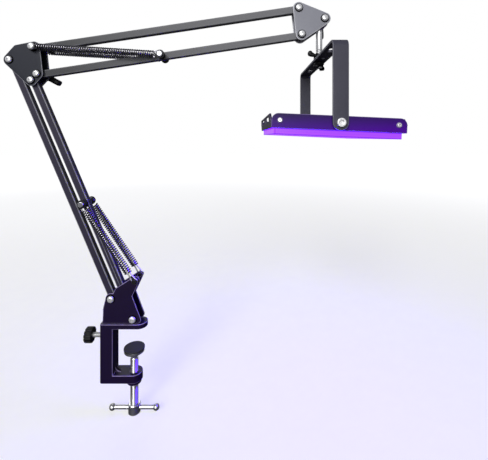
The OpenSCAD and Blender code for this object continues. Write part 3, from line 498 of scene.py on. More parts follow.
def even_shading(mesh, degrees=40):
    """The same mesh, its large faces shaded flat and only the round strips between them smooth."""
    piece = add_object("shading", mesh)
    smooth(mesh, degrees)
    modifier = piece.modifiers.new("normals", "WEIGHTED_NORMAL")
    modifier.keep_sharp = True
    modifier.weight = 100
    return plain_mesh(piece)


# %% Copying a node with rounded edges
WELD = 2e-6
FLAT_DEGREES = 0.6
EDGE_DEGREES = 30
# These nodes have round edges in the CAD model already, as long and narrow faces, which only need marking.
TUBES = ["lower_bar_left", "lower_bar_right", "upper_bar_top", "upper_bar_bottom"]
LONG_MM, NARROW_MM, TUBE_RIM = 20, 0.9, 0.7
# The short edges of these nodes' arcs would hold the bevel back to nothing, so it isn't clamped on them.
ARCS = ["base_bracket", "clamp_frame", "lamp_end_near", "lamp_end_far", "elbow_plate_near", "elbow_plate_far",
        "yoke", "stem_knuckle", "lamp_shell"]
STRAY_SHARE, PROUD_MM = 0.75, 0.01


def call_back(work, skin, round_mm):
    """Where an unclamped bevel throws a corner off the part, puts it on the nearest place of the old skin."""
    stray = 0
    for vert in work.verts:
        near, normal, _, gap = skin.find_nearest(vert.co)
        if gap > STRAY_SHARE * round_mm * MM or (vert.co - near).dot(normal) > PROUD_MM * MM:
            vert.co = near
            stray += 1
    return stray


def finer(node, finish_name, round_mm):
    """A copy of a CAD node with its edges rounded and marked, which stands for the node."""
    mesh = nodes[node].data.copy()
    work = bmesh.new()
    work.from_mesh(mesh)
    bmesh.ops.remove_doubles(work, verts=work.verts, dist=WELD)
    bmesh.ops.dissolve_limit(work, angle_limit=math.radians(FLAT_DEGREES), verts=work.verts, edges=work.edges)
    bmesh.ops.recalc_face_normals(work, faces=work.faces)
    rim = work.faces.layers.float.new("rim")
    for face in work.faces if node in TUBES else []:
        longest = max(e.calc_length() for e in face.edges)
        if longest > LONG_MM * MM and face.calc_area() / longest < NARROW_MM * MM:
            face[rim] = TUBE_RIM
    sharp = math.radians(EDGE_DEGREES)
    edges = [e for e in work.edges if len(e.link_faces) == 2 and e.calc_face_angle(0) > sharp]
    skin = BVHTree.FromBMesh(work)
    made = bmesh.ops.bevel(work, geom=edges, offset=round_mm * MM, offset_type="OFFSET", segments=2,
                           profile=0.5, affect="EDGES", clamp_overlap=node not in ARCS)
    for face in made["faces"]:
        face[rim] = 1.0
    if node in ARCS:
        print(node, "corners put back:", call_back(work, skin, round_mm))
    bmesh.ops.triangulate(work, faces=[f for f in work.faces if len(f.verts) > 4])
    work.to_mesh(mesh)
    work.free()
    piece = add_object(node + "_fine", even_shading(mesh))
    return settle(piece, body_of_node[node], finish_name, slot_of_node[node], node)


# %% The rounded copies: finish, rounding in mm, nodes
ROUNDED = (
    ("base", 0.6, ["clamp_frame", "base_bracket"]),
    ("base", 0.3, ["stem_knuckle"]),
    ("bars lower", 0.7, ["lower_bar_left", "lower_bar_right"]),
    ("elbow", 0.6, ["elbow_plate_near", "elbow_plate_far"]),
    ("bars upper", 0.7, ["upper_bar_top", "upper_bar_bottom"]),
    ("head", 0.7, ["head_plate_near", "head_plate_far"]),
    ("yoke", 0.5, ["yoke"]),
    ("lamp", 0.5, ["lamp_end_near", "lamp_end_far"]),
    ("shell", 0.25, ["lamp_shell"]),
    ("plastic", 0.08, ["thrust_washer"]),
    ("plastic", 0.3, ["ear_studs", "lower_left_plugs", "lower_right_plugs", "lower_anchor_sleeves",
                      "upper_top_plugs", "upper_bottom_plugs", "upper_anchor_sleeves"]),
    ("washer", 0.3, ["base_washers", "elbow_washers", "head_washers", "lamp_washers"]),
    ("chrome", 0.3, ["lamp_bolts"]),
    ("chrome", 0.15, ["lamp_screws"]),
    ("zinc", 0.3, ["pad_cup", "tommy_bar"]),
    ("zinc", 0.2, ["swivel_post"]),
    ("rubber", 0.3, ["pad_face"]),
    ("window", 0.8, ["lens"]),
)
for finish_name, rounding, names in ROUNDED:
    for node_name in names:
        finer(node_name, finish_name, rounding)
paint(nodes["led_board"], "board")
paint(nodes["lens_seal"], "seal")
print("rounded copies:", sum(len(names) for _, _, names in ROUNDED))

# %% [markdown]
# ## Turned shapes
# Knobs, heads, nuts, rods and plugs are turned on a lathe, so one helper revolves a profile, which is given
# as a list of radius and height in millimetres. Threads are a revolved shape whose radius rises and falls
# along a helix. Several turned shapes, each put in its place, are then joined into one piece.

# %% A lathe and a thread
STEPS_PER_PITCH = 8
SEAM = 1e-7
# A thread's crests are a little flat, and its chamfered ends are this much thicker than its root, in mm.
CREST_GAIN, END_R = 1.25, 0.2


def ring_faces(verts, count):
    """Faces between rings of count corners each, which follow each other in verts."""
    faces = []
    for low in range(0, len(verts) - count, count):
        high = low + count
        for i in range(count):
            j = (i + 1) % count
            faces.append((low + i, low + j, high + j, high + i))
    return faces


def capped(name, verts, count):
    """A mesh of rings that is closed by a flat face at each end."""
    faces = ring_faces(verts, count)
    faces.append(tuple(reversed(range(count))))
    faces.append(tuple(range(len(verts) - count, len(verts))))
    mesh = bpy.data.meshes.new(name)
    mesh.from_pydata(verts, [], faces)
    smooth(mesh, 50)
    return mesh


def lathe(name, profile, count=48, radius_at=None):
    """Revolves (radius, height) pairs in mm about z. radius_at(angle, radius, height) may change a radius."""
    verts = []
    for r, z in profile:
        for i in range(count):
            a = 2 * math.pi * i / count
            q = radius_at(a, r, z) if radius_at else r
            verts.append((q * math.cos(a) * MM, q * math.sin(a) * MM, z * MM))
    mesh = bpy.data.meshes.new(name)
    mesh.from_pydata(verts, [], ring_faces(verts, count))
    work = bmesh.new()
    work.from_mesh(mesh)
    bmesh.ops.remove_doubles(work, verts=work.verts, dist=SEAM)
    edges = [e for e in work.edges if e.is_boundary]
    if edges:
        bmesh.ops.holes_fill(work, edges=edges, sides=0)
    bmesh.ops.recalc_face_normals(work, faces=work.faces)
    work.to_mesh(mesh)
    work.free()
    smooth(mesh)
    return mesh


def thread(name, crest, root, pitch, low, high, count=36):
    """A screw thread about z from low to high in mm, with a chamfer at each end."""
    steps = int((high - low) / pitch * STEPS_PER_PITCH)
    verts = []
    for k in range(steps + 1):
        z = low + (high - low) * k / steps
        end = min((z - low), (high - z)) / pitch
        for i in range(count):
            turn = i / count
            wave = (z / pitch - turn) % 1.0
            tooth = 1 - abs(wave * 2 - 1)
            r = min(root + (crest - root) * min(1, tooth * CREST_GAIN),
                    root + (crest - root) * max(0, end) + END_R)
            a = 2 * math.pi * turn
            verts.append((r * math.cos(a) * MM, r * math.sin(a) * MM, z * MM))
    return capped(name, verts, count)


def joined(name, meshes):
    """One mesh of several, each in its place."""
    work = bmesh.new()
    for mesh in meshes:
        work.from_mesh(mesh)
    result = bpy.data.meshes.new(name)
    work.to_mesh(result)
    work.free()
    return result


def moved(way):
    return Matrix.Translation(way)


def turned(degrees, axis):
    return Matrix.Rotation(math.radians(degrees), 4, axis)


print("rings in one pitch of a thread:", STEPS_PER_PITCH)

# %% [markdown]
# ## The springs
# A balance spring is one wire: a loop round the anchor bolt, many tight turns, and a hook that holds a stud.
# The turns follow a rule, so Geometry Nodes make them: a spiral curve is given a round profile, and its
# length, radius and number of turns are inputs. The real spring stretches as the arm moves, but here the
# turns are one fixed piece on no body: the hooks ride on the body that swings with the hook, and the anchor
# loops on one of the section's bars.


# %% A coil as a Geometry Nodes tree
def start_tree(name, inputs):
    """A Geometry Nodes tree with these inputs and a material."""
    inputs = [("Geometry", "Geometry", None)] + inputs + [("Material", "Material", None)]
    return new_group(name, "GeometryNodeTree", inputs, [("Geometry", "Geometry")])


def close_tree(tree, geometry, ins, outs):
    """Makes instances real, sets the material and ends the tree."""
    real = add_node(tree, "GeometryNodeRealizeInstances", {"Geometry": geometry})
    painted = add_node(tree, "GeometryNodeSetMaterial", {
        "Geometry": real.outputs["Geometry"], "Material": ins.outputs["Material"]})
    feed(tree, outs.inputs["Geometry"], painted.outputs["Geometry"])
    return tree


def coil_tree():
    tree, ins, outs = start_tree("Coil spring", [
        ("Turns", "Float", 30.0), ("Length", "Float", 0.1), ("Radius", "Float", 0.004),
        ("Wire", "Float", 0.0007)])
    spiral = add_node(tree, "GeometryNodeCurveSpiral", {
        "Resolution": 20, "Rotations": ins.outputs["Turns"], "Start Radius": ins.outputs["Radius"],
        "End Radius": ins.outputs["Radius"], "Height": ins.outputs["Length"]})
    section = add_node(tree, "GeometryNodeCurvePrimitiveCircle", {
        "Resolution": 8, "Radius": ins.outputs["Wire"]})
    sweep = add_node(tree, "GeometryNodeCurveToMesh", {
        "Fill Caps": True, "Curve": spiral.outputs["Curve"], "Profile Curve": section.outputs["Curve"]})
    return close_tree(tree, sweep.outputs["Mesh"], ins, outs)


def grown(name, start_mesh, tree, values):
    """A plain mesh of what the tree makes from start_mesh with these input values."""
    carrier = add_object(name + "_carrier", start_mesh)
    modifier = carrier.modifiers.new("grow", "NODES")
    modifier.node_group = tree
    ids = {item.name: item.identifier for item in tree.interface.items_tree if item.in_out == "INPUT"}
    for label, value in values.items():
        modifier[ids[label]] = value
    mesh = plain_mesh(carrier)
    mesh.name = name
    return mesh


def empty_mesh():
    mesh = bpy.data.meshes.new("start")
    mesh.from_pydata([(0, 0, 0)], [], [])
    return mesh


COIL = coil_tree()
print("tree:", COIL.name)


# %% Wire along points
WIRE_R = 0.92 * MM
# A curve of this kind cuts its corners, so the points of a loop stand a little outside it.
LOOSE = 1.12


def wire(name, points, radius):
    """A round wire along a smooth curve near these points."""
    curve = bpy.data.curves.new(name, "CURVE")
    curve.dimensions = "3D"
    curve.bevel_depth = radius
    curve.bevel_resolution = 2
    curve.use_fill_caps = True
    run = curve.splines.new("NURBS")
    run.points.add(len(points) - 1)
    for spot, p in zip(run.points, points):
        spot.co = (*p, 1)
    run.order_u = 4
    run.use_endpoint_u = True
    run.resolution_u = 6
    return plain_mesh(add_object(name, curve))


def arc(centre, r, angles):
    """Points round (centre, 0, 0) in the X and Z plane, at these angles in degrees."""
    return [(centre + r * math.cos(math.radians(a)), 0, r * math.sin(math.radians(a))) for a in angles]


def hook_points(first, ring):
    """From the plug at first, round a stud at the origin, and back to the plug."""
    out = [(first + 2.5 * MM, 0, 1.3 * MM), (first - 1 * MM, 0, 1.3 * MM), (ring * 1.5, 0, ring * 0.75)]
    back = [(x, y, -z) for x, y, z in reversed(out)]
    return out + arc(0, ring * LOOSE, range(40, 321, 35)) + back


def eye_points(last, coil_r, reach, bolt_r):
    """From the last turn, round the anchor bolt at reach."""
    out = [(last - 0.5 * MM, 0, coil_r), (last + 1 * MM, 0, coil_r), (last + 2.4 * MM, 0, coil_r * 1.02)]
    return out + arc(reach, bolt_r * LOOSE, range(115, -131, -35))


print("spring wire in mm:", round(2 * WIRE_R / MM, 2))

# %% A pair of springs
SPRING_OUT = 12.9
ANCHOR_R = 2.6 * MM
# The bare wire between the last turn and the anchor, and a length of coil at each end.
NECK, HELD = 4 * MM, 6 * MM
PLUG = [(0, 0), (1.9, 0), (2.6, 0.7), (2.6, 5.4), (2.0, 6), (0, 6)]


def middle(node):
    low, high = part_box(node)
    return (low + high) / 2


def spring_frame(start, end, out):
    """A spring's own frame, with its axis along +x and its hooks' rings in the arm's X and Z plane."""
    along = (end - start).normalized()
    side = Vector((0, 1, 0))
    up = along.cross(side)
    turn = Matrix((along, side, up)).transposed().to_4x4()
    return moved(start + Vector((0, out, 0))) @ turn


def spring(section, turns, coil_r, stud, stud_r, hook_length, hook_finish):
    """The near and far spring of a section of the arm, with their hooks and their anchor loops."""
    bolt = middle(section + "_anchor_bolt")
    anchor = Vector((bolt.x, 0, bolt.z))
    links, slides = section + "_spring_links", section + "_springs"
    reach = (anchor - stud).length
    bolt_r = ANCHOR_R + WIRE_R
    first, last = hook_length, reach - bolt_r - NECK
    hooks, eyes = [], []
    for side, node in ((-1, section + "_spring_near"), (1, section + "_spring_far")):
        place = spring_frame(stud, anchor, side * SPRING_OUT * MM)
        coil_place = place @ moved((first, 0, 0)) @ turned(90, "Y")
        mesh = grown(section + "_coil", empty_mesh(), COIL, {
            "Turns": float(turns), "Length": last - first, "Radius": coil_r, "Wire": WIRE_R,
            "Material": FINISH["spring"]})
        smooth(placed(mesh, coil_place), 60)
        coil = add_object(node + "_coil", mesh)
        paint(coil, "spring")
        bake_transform(coil)
        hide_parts(node)
        hook = wire("hook", hook_points(first, stud_r + WIRE_R), WIRE_R * 0.9)
        hooks += [placed(hook, place), placed(lathe("plug", PLUG, 24), coil_place)]
        eyes.append(placed(wire("eye", eye_points(last, coil_r, reach, bolt_r), WIRE_R), place))
    mount(section + "_hook_wires", joined("hooks", hooks), links, hook_finish, "plated_steel",
          section + "_spring_hooks", degrees=40)
    mount(section + "_anchor_loops", joined("loops", eyes), section + "_bar_b", "spring", "spring_steel",
          degrees=60)
    print(section, "springs:", turns, "turns over", round((last - first) / MM), "mm")


ear = joint_at["lower_spring_swing"]
elbow_top = joint_at["upper_top_bar"]
spring("lower", 34, 3.9 * MM, ear, 2.2 * MM, 13.4 * MM, "zinc")
spring("upper", 52, 3.4 * MM, elbow_top, 2.5 * MM, 8.0 * MM, "spring")

# %% [markdown]
# ## Pivot bolts and nuts
# All nine pivots of the arm use the same button-head bolt with a hexagon socket, and seven of them the same
# chamfered nut. One bolt head, one shank and one nut are modelled, and Geometry Nodes put a copy on each
# pivot. The heads' sockets stand at random angles, with a fixed seed, because nobody lines them up.


# %% Fasteners on points, as a Geometry Nodes tree
def fastener_tree():
    tree, ins, outs = start_tree("Fasteners on pivots", [
        ("Part", "Object", None), ("Least turn", "Float", 0.0), ("Most turn", "Float", 6.28),
        ("Seed", "Int", 4)])
    part = add_node(tree, "GeometryNodeObjectInfo", {"Object": ins.outputs["Part"]})
    reach = add_node(tree, "GeometryNodeInputNamedAttribute", {"Name": "reach"}, data_type="FLOAT")
    size = add_node(tree, "ShaderNodeCombineXYZ", {"X": 1, "Y": 1, "Z": reach.outputs["Attribute"]})
    turn = add_node(tree, "FunctionNodeRandomValue", {
        "Min": ins.outputs["Least turn"], "Max": ins.outputs["Most turn"], "Seed": ins.outputs["Seed"]},
        data_type="FLOAT")
    about = add_node(tree, "ShaderNodeCombineXYZ", {"Z": turn.outputs["Value"]})
    put = add_node(tree, "GeometryNodeInstanceOnPoints", {
        "Points": ins.outputs["Geometry"], "Instance": part.outputs["Geometry"],
        "Rotation": about.outputs["Vector"], "Scale": size.outputs["Vector"]})
    return close_tree(tree, put.outputs["Instances"], ins, outs)


FASTENERS = fastener_tree()
# The tree works in a frame whose z runs along the bolts. This turns it so that z points away from the viewer.
INTO_DEPTH = turned(-90, "X")


def on_pivots(name, part_mesh, places, finish_name, seed=4):
    """Copies part_mesh to places, each (point in m, stretch of the part's length), with its z along +Y."""
    points = bpy.data.meshes.new("points")
    points.from_pydata([INTO_DEPTH.inverted() @ p for p, _ in places], [], [])
    reach = points.attributes.new("reach", "FLOAT", "POINT")
    reach.data.foreach_set("value", [r for _, r in places])
    part = add_object(name + "_part", part_mesh)
    part.hide_render = True
    mesh = grown(name, points, FASTENERS, {"Part": part, "Seed": seed, "Material": FINISH[finish_name]})
    bpy.data.objects.remove(part)
    smooth(placed(mesh, INTO_DEPTH))
    return mesh


print("tree:", FASTENERS.name)


# %% One bolt head, one shank and one nut
def cut(mesh, cutter, operation="DIFFERENCE"):
    """The mesh without the cutter, or with INTERSECT only what both share."""
    body, tool = add_object("body", mesh), add_object("tool", cutter)
    modifier = body.modifiers.new("cut", "BOOLEAN")
    modifier.operation = operation
    modifier.solver = "EXACT"
    modifier.object = tool
    result = plain_mesh(body)
    bpy.data.objects.remove(tool)
    return result


def hexagon(across, low, high):
    """A six-sided prism, this wide between opposite flats."""
    r = across / math.sqrt(3)
    return lathe("prism", [(r, low), (r, high)], 6)


def button_head():
    dome = [(0, -2.6), (2.3, -2.52), (3.2, -2.2), (3.9, -1.6), (4.25, -0.9), (4.3, -0.35), (4.2, 0), (0, 0)]
    return cut(lathe("button head", dome, 40), hexagon(2.8, -3.2, -1.9))


def hex_nut():
    disc = lathe("nut", [(0, 0), (3.9, 0), (4.5, 0.5), (4.5, 2.9), (3.9, 3.4), (0, 3.4)], 40)
    nut = cut(disc, hexagon(7.6, -1, 5), "INTERSECT")
    return cut(nut, lathe("bore", [(2.52, -1), (2.52, 5)], 32))


def shank():
    """A bolt's shank of length 1 mm, which the tree stretches."""
    return lathe("shank", [(0, 0), (2.5, 0), (2.5, 0.96), (2.2, 1.0), (0, 1.0)], 32)


print("bolt parts: button_head, shank, hex_nut")

# %% The pivots and their bolts
base_left, base_right = joint_at["lower_arm"], joint_at["lower_right_bar"]
elbow_left = joint_at["elbow_level"]
elbow_right = elbow_left + base_right - base_left
elbow_bottom = joint_at["upper_arm"]
head_bottom, head_pivot = joint_at["head_level"], joint_at["stem_tilt"]
head_top = head_bottom + elbow_top - elbow_bottom
# How far from the arm's middle plane, in mm, a head sits in front and a bolt ends behind. The bolt that also
# carries the spring hooks is longer, and so are those that end in a wing nut instead of a nut.
OUTER, LONG_OUTER = 9.3, 13.65
TIP, LONG_TIP, WING_TIP = 13.3, 17.65, 18.3
NUT_AND_END = 4.0
PIVOTS = {
    "base": [(base_left, OUTER, TIP), (base_right, OUTER, TIP)],
    "elbow": [(elbow_left, OUTER, TIP), (elbow_right, OUTER, TIP), (elbow_top, LONG_OUTER, LONG_TIP),
              (elbow_bottom, OUTER, WING_TIP)],
    "head": [(head_top, OUTER, TIP), (head_bottom, OUTER, TIP), (head_pivot, OUTER, WING_TIP)],
}


def depth(p, y):
    """The point p, moved to y in mm."""
    return Vector((p.x, y * MM, p.z))


for group, pivots in PIVOTS.items():
    fronts = [(depth(p, -y), 1.0) for p, y, _ in pivots]
    heads = on_pivots(group + "_heads", button_head(), fronts, "chrome", seed=len(group))
    runs = [(depth(p, -y), y + tip) for p, y, tip in pivots]
    rods = on_pivots(group + "_rods", shank(), runs, "chrome")
    mount(group + "_pivot_bolts", joined("bolts", [heads, rods]), group, "chrome", "bright_steel",
          group + "_bolts")
    nutted = [(depth(p, tip - NUT_AND_END), 1.0) for p, _, tip in pivots if tip != WING_TIP]
    nuts = on_pivots(group + "_nuts", hex_nut(), nutted, "zinc", seed=7)
    mount(group + "_pivot_nuts", nuts, group, "zinc", "plated_steel", group + "_nuts")
    print(group, "bolts:", len(pivots), "nuts:", len(nutted))

# %% Spring anchors
WASHER_GAP = 0.85
THIN_NUT = 0.88
WASHER = [(2.6, 0), (5.2, 0), (5.4, 0.2), (5.4, 0.8), (5.2, 1), (2.6, 1), (2.6, 0)]


def anchor_bolt(section):
    """A cross bolt with a flat head in front, a nut behind, and a black washer on each spring loop."""
    node = section + "_anchor_bolt"
    body = body_of_node[node]
    low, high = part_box(node)
    place = moved(depth(middle(node), 0)) @ INTO_DEPTH
    front, back = -low.y / MM, high.y / MM
    washer_y = SPRING_OUT + WASHER_GAP
    head = lathe("head", [
        (0, -front), (2.9, -front), (3.2, 0.25 - front), (3.5, 0.3 - front), (4.0, 0.8 - front),
        (4.1, 1.1 - front), (4.1, -washer_y - 1), (0, -washer_y - 1)], 40)
    pin = lathe("pin", [(0, 2 - front), (2.4, 2 - front), (2.4, back - 0.5), (2.0, back), (0, back)], 32)
    nut = placed(hex_nut(), moved((0, 0, (washer_y + 1) * MM)) @ Matrix.Diagonal((1, 1, THIN_NUT, 1)))
    washers = [lathe("washer", [(r, y + z) for r, z in WASHER]) for y in (-washer_y - 1, washer_y)]
    for name, meshes, finish_name, slot, replaced in (
            ("bolt", [head, pin, nut], "steel", "bright_steel", [node]),
            ("washers", washers, "plastic", "black_plastic", [])):
        mount(f"{section}_anchor_{name}", joined(name, meshes), body, finish_name, slot, *replaced,
              place=place)
    print(section, "anchor bolt:", round(front + back, 1), "mm long")


anchor_bolt("lower")
anchor_bolt("upper")

# %% [markdown]
# ## Wing nuts
# The elbow and the head are locked by black plastic wing nuts on the far side, and two more hold the yoke on
# its rod. A wing nut is a turned hub and two flat wings. Each wing is a rounded slab: its outline is drawn
# once, and rings of the same outline, stepped inwards, round its rim, as on a real moulding.


# %% A rounded slab and a wing nut
def smooth_loop(points, per_span=5):
    """A closed smooth curve through the points (Catmull-Rom)."""
    n, out = len(points), []
    for i in range(n):
        a, b, c, d = (points[(i + k) % n] for k in (-1, 0, 1, 2))
        for s in range(per_span):
            t = s / per_span
            out.append(0.5 * ((2 * b) + (c - a) * t + (2 * a - 5 * b + 4 * c - d) * t * t
                              + (3 * b - a - 3 * c + d) * t ** 3))
    return out


def slab(name, outline, thick, rim, steps=4):
    """A slab of this closed outline (x, y pairs in mm, counter-clockwise), thick in z, with a round rim."""
    n = len(outline)
    normals = []
    for i in range(n):
        along = (outline[(i + 1) % n] - outline[i - 1]).normalized()
        normals.append(Vector((along.y, -along.x)))
    levels = []
    for k in range(steps + 1):
        a = math.pi / 2 * k / steps
        levels.append((rim * (1 - math.cos(a)), thick / 2 - rim + rim * math.sin(a)))
    levels = [(inset, -z) for inset, z in reversed(levels)] + levels
    verts = []
    for inset, z in levels:
        for p, out in zip(outline, normals):
            q = p - out * inset
            verts.append((q.x * MM, q.y * MM, z * MM))
    return capped(name, verts, n)


THICKER = 0.2


def wing_nut(span, hub_r, height, bore_r, wing_t=6.0):
    """A wing nut on the plane z = 0, all sizes in mm. Its wings are thicker at the hub by the share above."""
    tip = span / 2
    outline = smooth_loop([Vector((x, share * height)) for x, share in (
        (hub_r * 0.4, 0.50), (hub_r * 1.1, 0.56), (tip * 0.66, 0.58), (tip * 0.90, 0.72),
        (tip * 0.995, 1.02), (tip * 0.95, 1.36), (tip * 0.80, 1.50), (tip * 0.64, 1.36),
        (hub_r * 1.35, 1.04), (hub_r * 0.4, 0.94))])
    wings = []
    for turn in (0, 180):
        wing = slab("wing", outline, wing_t, min(wing_t * 0.36, height * 0.22))
        for v in wing.vertices:
            v.co.z *= 1 + THICKER - THICKER * v.co.x / (tip * MM)
        wings.append(placed(wing, turned(turn, "Z") @ turned(90, "X")))
    hub = lathe("hub", [
        (bore_r, 0), (hub_r - 0.4, 0), (hub_r, 0.4), (hub_r * 0.98, height * 0.45),
        (hub_r * 0.84, height * 0.62), (hub_r * 0.80, height - 0.6), (hub_r * 0.70, height),
        (bore_r + 0.3, height), (bore_r, height - 0.4), (bore_r, 0)], 40)
    return joined("wing nut", wings + [hub])


# %% The four wing nuts
BOLT_BORE, ROD_BORE = 2.55, 4.05
CLEAR = 0.03 * MM
STRIP = 3 * MM
yoke_low, yoke_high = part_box("yoke")
stem_line = Vector(((yoke_low.x + yoke_high.x) / 2, 0, 0))
above = moved(stem_line + Vector((0, 0, yoke_high.z + CLEAR)))
below = moved(stem_line + Vector((0, 0, yoke_high.z - STRIP - CLEAR)))


def far_side(p, degrees):
    """On the bolt at p, against the far plate, turned by this angle."""
    return moved(depth(p, OUTER)) @ turned(-degrees, "Y") @ turned(-90, "X")


for name, mesh, place, body, node in (
        ("elbow", wing_nut(35, 6, 10, BOLT_BORE, 7.0), far_side(elbow_bottom, -31),
         "elbow_wing", "elbow_wing_nut"),
        ("head", wing_nut(38, 6, 10, BOLT_BORE), far_side(head_pivot, 96), "head_wing", "head_wing_nut"),
        ("yoke_upper", wing_nut(29, 7, 8, ROD_BORE), above, "yoke_wing_top", "yoke_wing_nut"),
        ("yoke_under", wing_nut(24, 6.5, 6, ROD_BORE), below @ turned(180, "X") @ turned(-55, "Z"),
         "yoke_wing_low", "yoke_lower_wing_nut")):
    mount(name + "_wing_nut_moulded", mesh, body, "plastic", "black_plastic", node, place=place, degrees=50)
    print(name, "wing nut:", len(mesh.polygons), "faces")

# %% [markdown]
# ## Lock knob, threaded rods and gland
# The knob that locks the swivel is a fluted cap: a revolved profile whose radius dips twelve times round.
# The clamp screw, the lock screw and the lower end of the lamp's stem carry threads, cut as helical grooves.
# The gland on the lamp's far end is a hexagon with a ribbed cap, and its bore is open, because no cord is
# shown.

# %% The fluted knob and its screw
KNOB_R, FLUTES, FLUTE_DEPTH = 9.5, 12, 1.15
# How far in from its rim the knob is fluted, in mm, and a power that is below 1 to make the flutes wide.
FLUTED, WIDE = 1.6, 0.7


def fluted(angle, r, z):
    if r < KNOB_R - FLUTED:
        return r
    dip = max(0.0, math.cos(FLUTES * angle)) ** WIDE
    return r - FLUTE_DEPTH * dip


knob_low, knob_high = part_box("lock_knob")
knob_len = (knob_high.x - knob_low.x) / MM
knob_z = joint_at["lock_knob_turn"].z
along_x = turned(90, "Y")
knob = lathe("knob", [
    (0, 0.9), (5.6, 0.9), (6.4, 0.5), (7.2, 0), (8.4, 0), (9.1, 0.35), (KNOB_R, 1.3),
    (KNOB_R, knob_len - 1.3), (9.1, knob_len - 0.35), (8.3, knob_len), (5.2, knob_len),
    (5.0, knob_len - 0.6), (3.02, knob_len - 0.6), (3.02, 2.0), (0, 2.0)], 144, fluted)
mount("lock_knob_moulded", knob, "lock_knob", "plastic", "black_plastic", "lock_knob",
      place=moved((knob_low.x, 0, knob_z)) @ along_x, degrees=40)

low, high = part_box("lock_screw")
screw = thread("lock thread", 3.0, 2.55, 1.0, 0, (high.x - low.x) / MM, 32)
mount("lock_screw_threaded", screw, "lock_knob", "chrome", "plated_steel", "lock_screw",
      place=moved((low.x, 0, knob_z)) @ along_x, degrees=50)
print("knob length:", round(knob_len, 1), "mm, screw:", round((high.x - low.x) / MM, 1), "mm")

# %% The clamp screw
low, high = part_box("clamp_screw")
bottom, top = low.z / MM, high.z / MM
hub_top = bottom + 12
tip_start = top - 8.9
screw = joined("clamp screw", [
    thread("clamp thread", 5.0, 4.25, 1.5, hub_top - 0.5, tip_start, 40),
    lathe("hub", [(0, bottom), (6.9, bottom), (7.5, bottom + 0.6), (7.5, hub_top - 0.8), (6.9, hub_top),
                  (0, hub_top)]),
    lathe("tip", [(0, tip_start - 1), (3.5, tip_start - 1), (3.5, top - 0.4), (3.1, top), (0, top)], 32)])
mount("clamp_screw_threaded", screw, "clamp_screw", "zinc", "plated_steel", "clamp_screw",
      place=moved((joint_at["clamp_screw_turn"].x, 0, 0)))
print("clamp screw from", round(bottom, 1), "to", round(top, 1), "mm")

# %% The lamp's stem
low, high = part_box("stem_rod")
bottom, top = low.z / MM, high.z / MM
thread_top = yoke_high.z / MM + 14
stem = joined("stem", [
    thread("stem thread", 4.0, 3.45, 1.25, bottom, thread_top, 40),
    lathe("stem", [(0, thread_top - 1), (3.55, thread_top - 1), (4.0, thread_top), (4.0, top), (0, top)])])
mount("stem_rod_threaded", stem, "stem", "chrome", "bright_steel", "stem_rod", place=moved(stem_line))
print("stem from", round(bottom), "to", round(top), "mm, threaded up to", round(thread_top), "mm")

# %% The cable gland
LAMP_LEAN = 2.5
GLAND_PLACE = Vector((46, 93, 0))
RIBS, RIB_DEPTH, RIB_LOW, RIB_HIGH, RIB_R = 10, 0.35, 4.6, 10.5, 4.5
lamp_turn = turned(LAMP_LEAN, "Y")
lamp_pivot = joint_at["lamp_tilt"]
gland_at = lamp_pivot + lamp_turn @ GLAND_PLACE * MM


def ribbed(angle, r, z):
    if not RIB_LOW < z < RIB_HIGH or r <= RIB_R:
        return r
    return r - RIB_DEPTH * max(0.0, math.cos(RIBS * angle))


CAP = [(3.1, -2), (4.7, -2), (4.7, 0.2), (7.9, 0.2), (8.3, 0.7), (8.3, 3.5), (7.9, 4.0), (6.2, 4.0),
       (6.2, 8.2), (5.9, 9.8), (5.3, 11.2), (4.3, 12), (3.5, 12), (3.1, 11.6), (3.1, -2)]
gland = cut(lathe("gland", CAP, 80, ribbed), hexagon(14.4, -3, 20), "INTERSECT")
mount("cable_gland_moulded", gland, "lamp", "plastic", "black_plastic", "cable_gland",
      place=moved(gland_at) @ lamp_turn @ turned(-90, "X"))
print("gland:", len(gland.polygons), "faces")

# %% [markdown]
# ## The emitters
# Behind the window sits a white board with a grid of violet LEDs. Each LED is a square base with a low dome,
# and Geometry Nodes put one copy on each place of a grid, with the rows and the spacing as inputs.


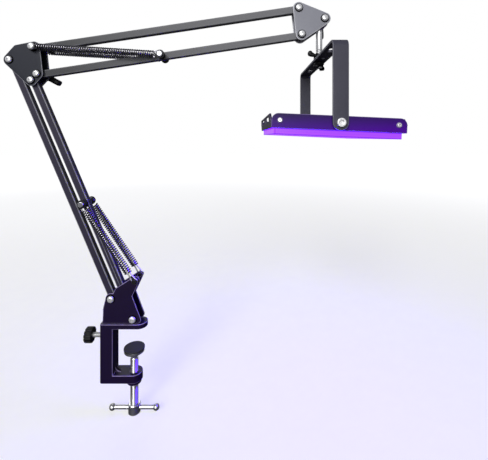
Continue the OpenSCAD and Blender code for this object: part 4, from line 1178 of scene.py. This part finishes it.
# %% LEDs on a grid
def led_tree():
    tree, ins, outs = start_tree("LED grid", [
        ("Part", "Object", None), ("Rows", "Int", 8), ("Columns", "Int", 6), ("Step X", "Float", 0.02),
        ("Step Y", "Float", 0.02)])
    grid = add_node(tree, "GeometryNodeMeshGrid", {
        "Vertices X": ins.outputs["Columns"], "Vertices Y": ins.outputs["Rows"]})
    for count, step, side in (("Columns", "Step X", "Size X"), ("Rows", "Step Y", "Size Y")):
        spans = add_node(tree, "ShaderNodeMath", {0: ins.outputs[count], 1: 1}, operation="SUBTRACT")
        feed(tree, grid.inputs[side], multiply(tree, spans.outputs[0], ins.outputs[step]))
    part = add_node(tree, "GeometryNodeObjectInfo", {"Object": ins.outputs["Part"]})
    put = add_node(tree, "GeometryNodeInstanceOnPoints", {
        "Points": grid.outputs["Mesh"], "Instance": part.outputs["Geometry"]})
    return close_tree(tree, put.outputs["Instances"], ins, outs)


ROWS, COLUMNS = 8, 6
FIELD_X, FIELD_Y = 0.1147, 0.1494
STEP_X, STEP_Y = FIELD_X / COLUMNS, FIELD_Y / ROWS
LED_BASE_T = 0.7
BOARD_FACE = -5.1 * MM
square = [Vector(p) for p in ((3.5, -2.7), (3.5, 2.7), (2.7, 3.5), (-2.7, 3.5), (-3.5, 2.7), (-3.5, -2.7),
                              (-2.7, -3.5), (2.7, -3.5))]
base_plate = placed(slab("LED base", square, LED_BASE_T, 0.15), moved((0, 0, -LED_BASE_T / 2 * MM)))
dome = lathe("LED dome", [(2.7, -0.6), (2.55, -0.95), (2.1, -1.2), (1.3, -1.36), (0, -1.4)], 16)
led = add_object("led", joined("led", [base_plate, dome]))
leds = grown("leds", empty_mesh(), led_tree(), {
    "Part": led, "Rows": ROWS, "Columns": COLUMNS, "Step X": STEP_X, "Step Y": STEP_Y,
    "Material": FINISH["emitter"]})
bpy.data.objects.remove(led)
mount("led_array", leds, "lamp", "emitter", "led", "led_chips",
      place=moved(lamp_pivot) @ lamp_turn @ moved((0, 0, BOARD_FACE)))
print("LEDs:", ROWS * COLUMNS, "spacing in mm:", round(STEP_X / MM, 1), round(STEP_Y / MM, 1))

# %% [markdown]
# ## Closing the lesson
# The sizes of the visual model's box and of the CAD box are printed. The visual model has to
# stay inside the CAD box.

# %% Sizes and the end
new_low, new_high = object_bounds()
for label, size in (("visual", new_high - new_low), ("CAD", cad_high - cad_low)):
    print(label, "box in mm:", [round(v / MM, 1) for v in size])
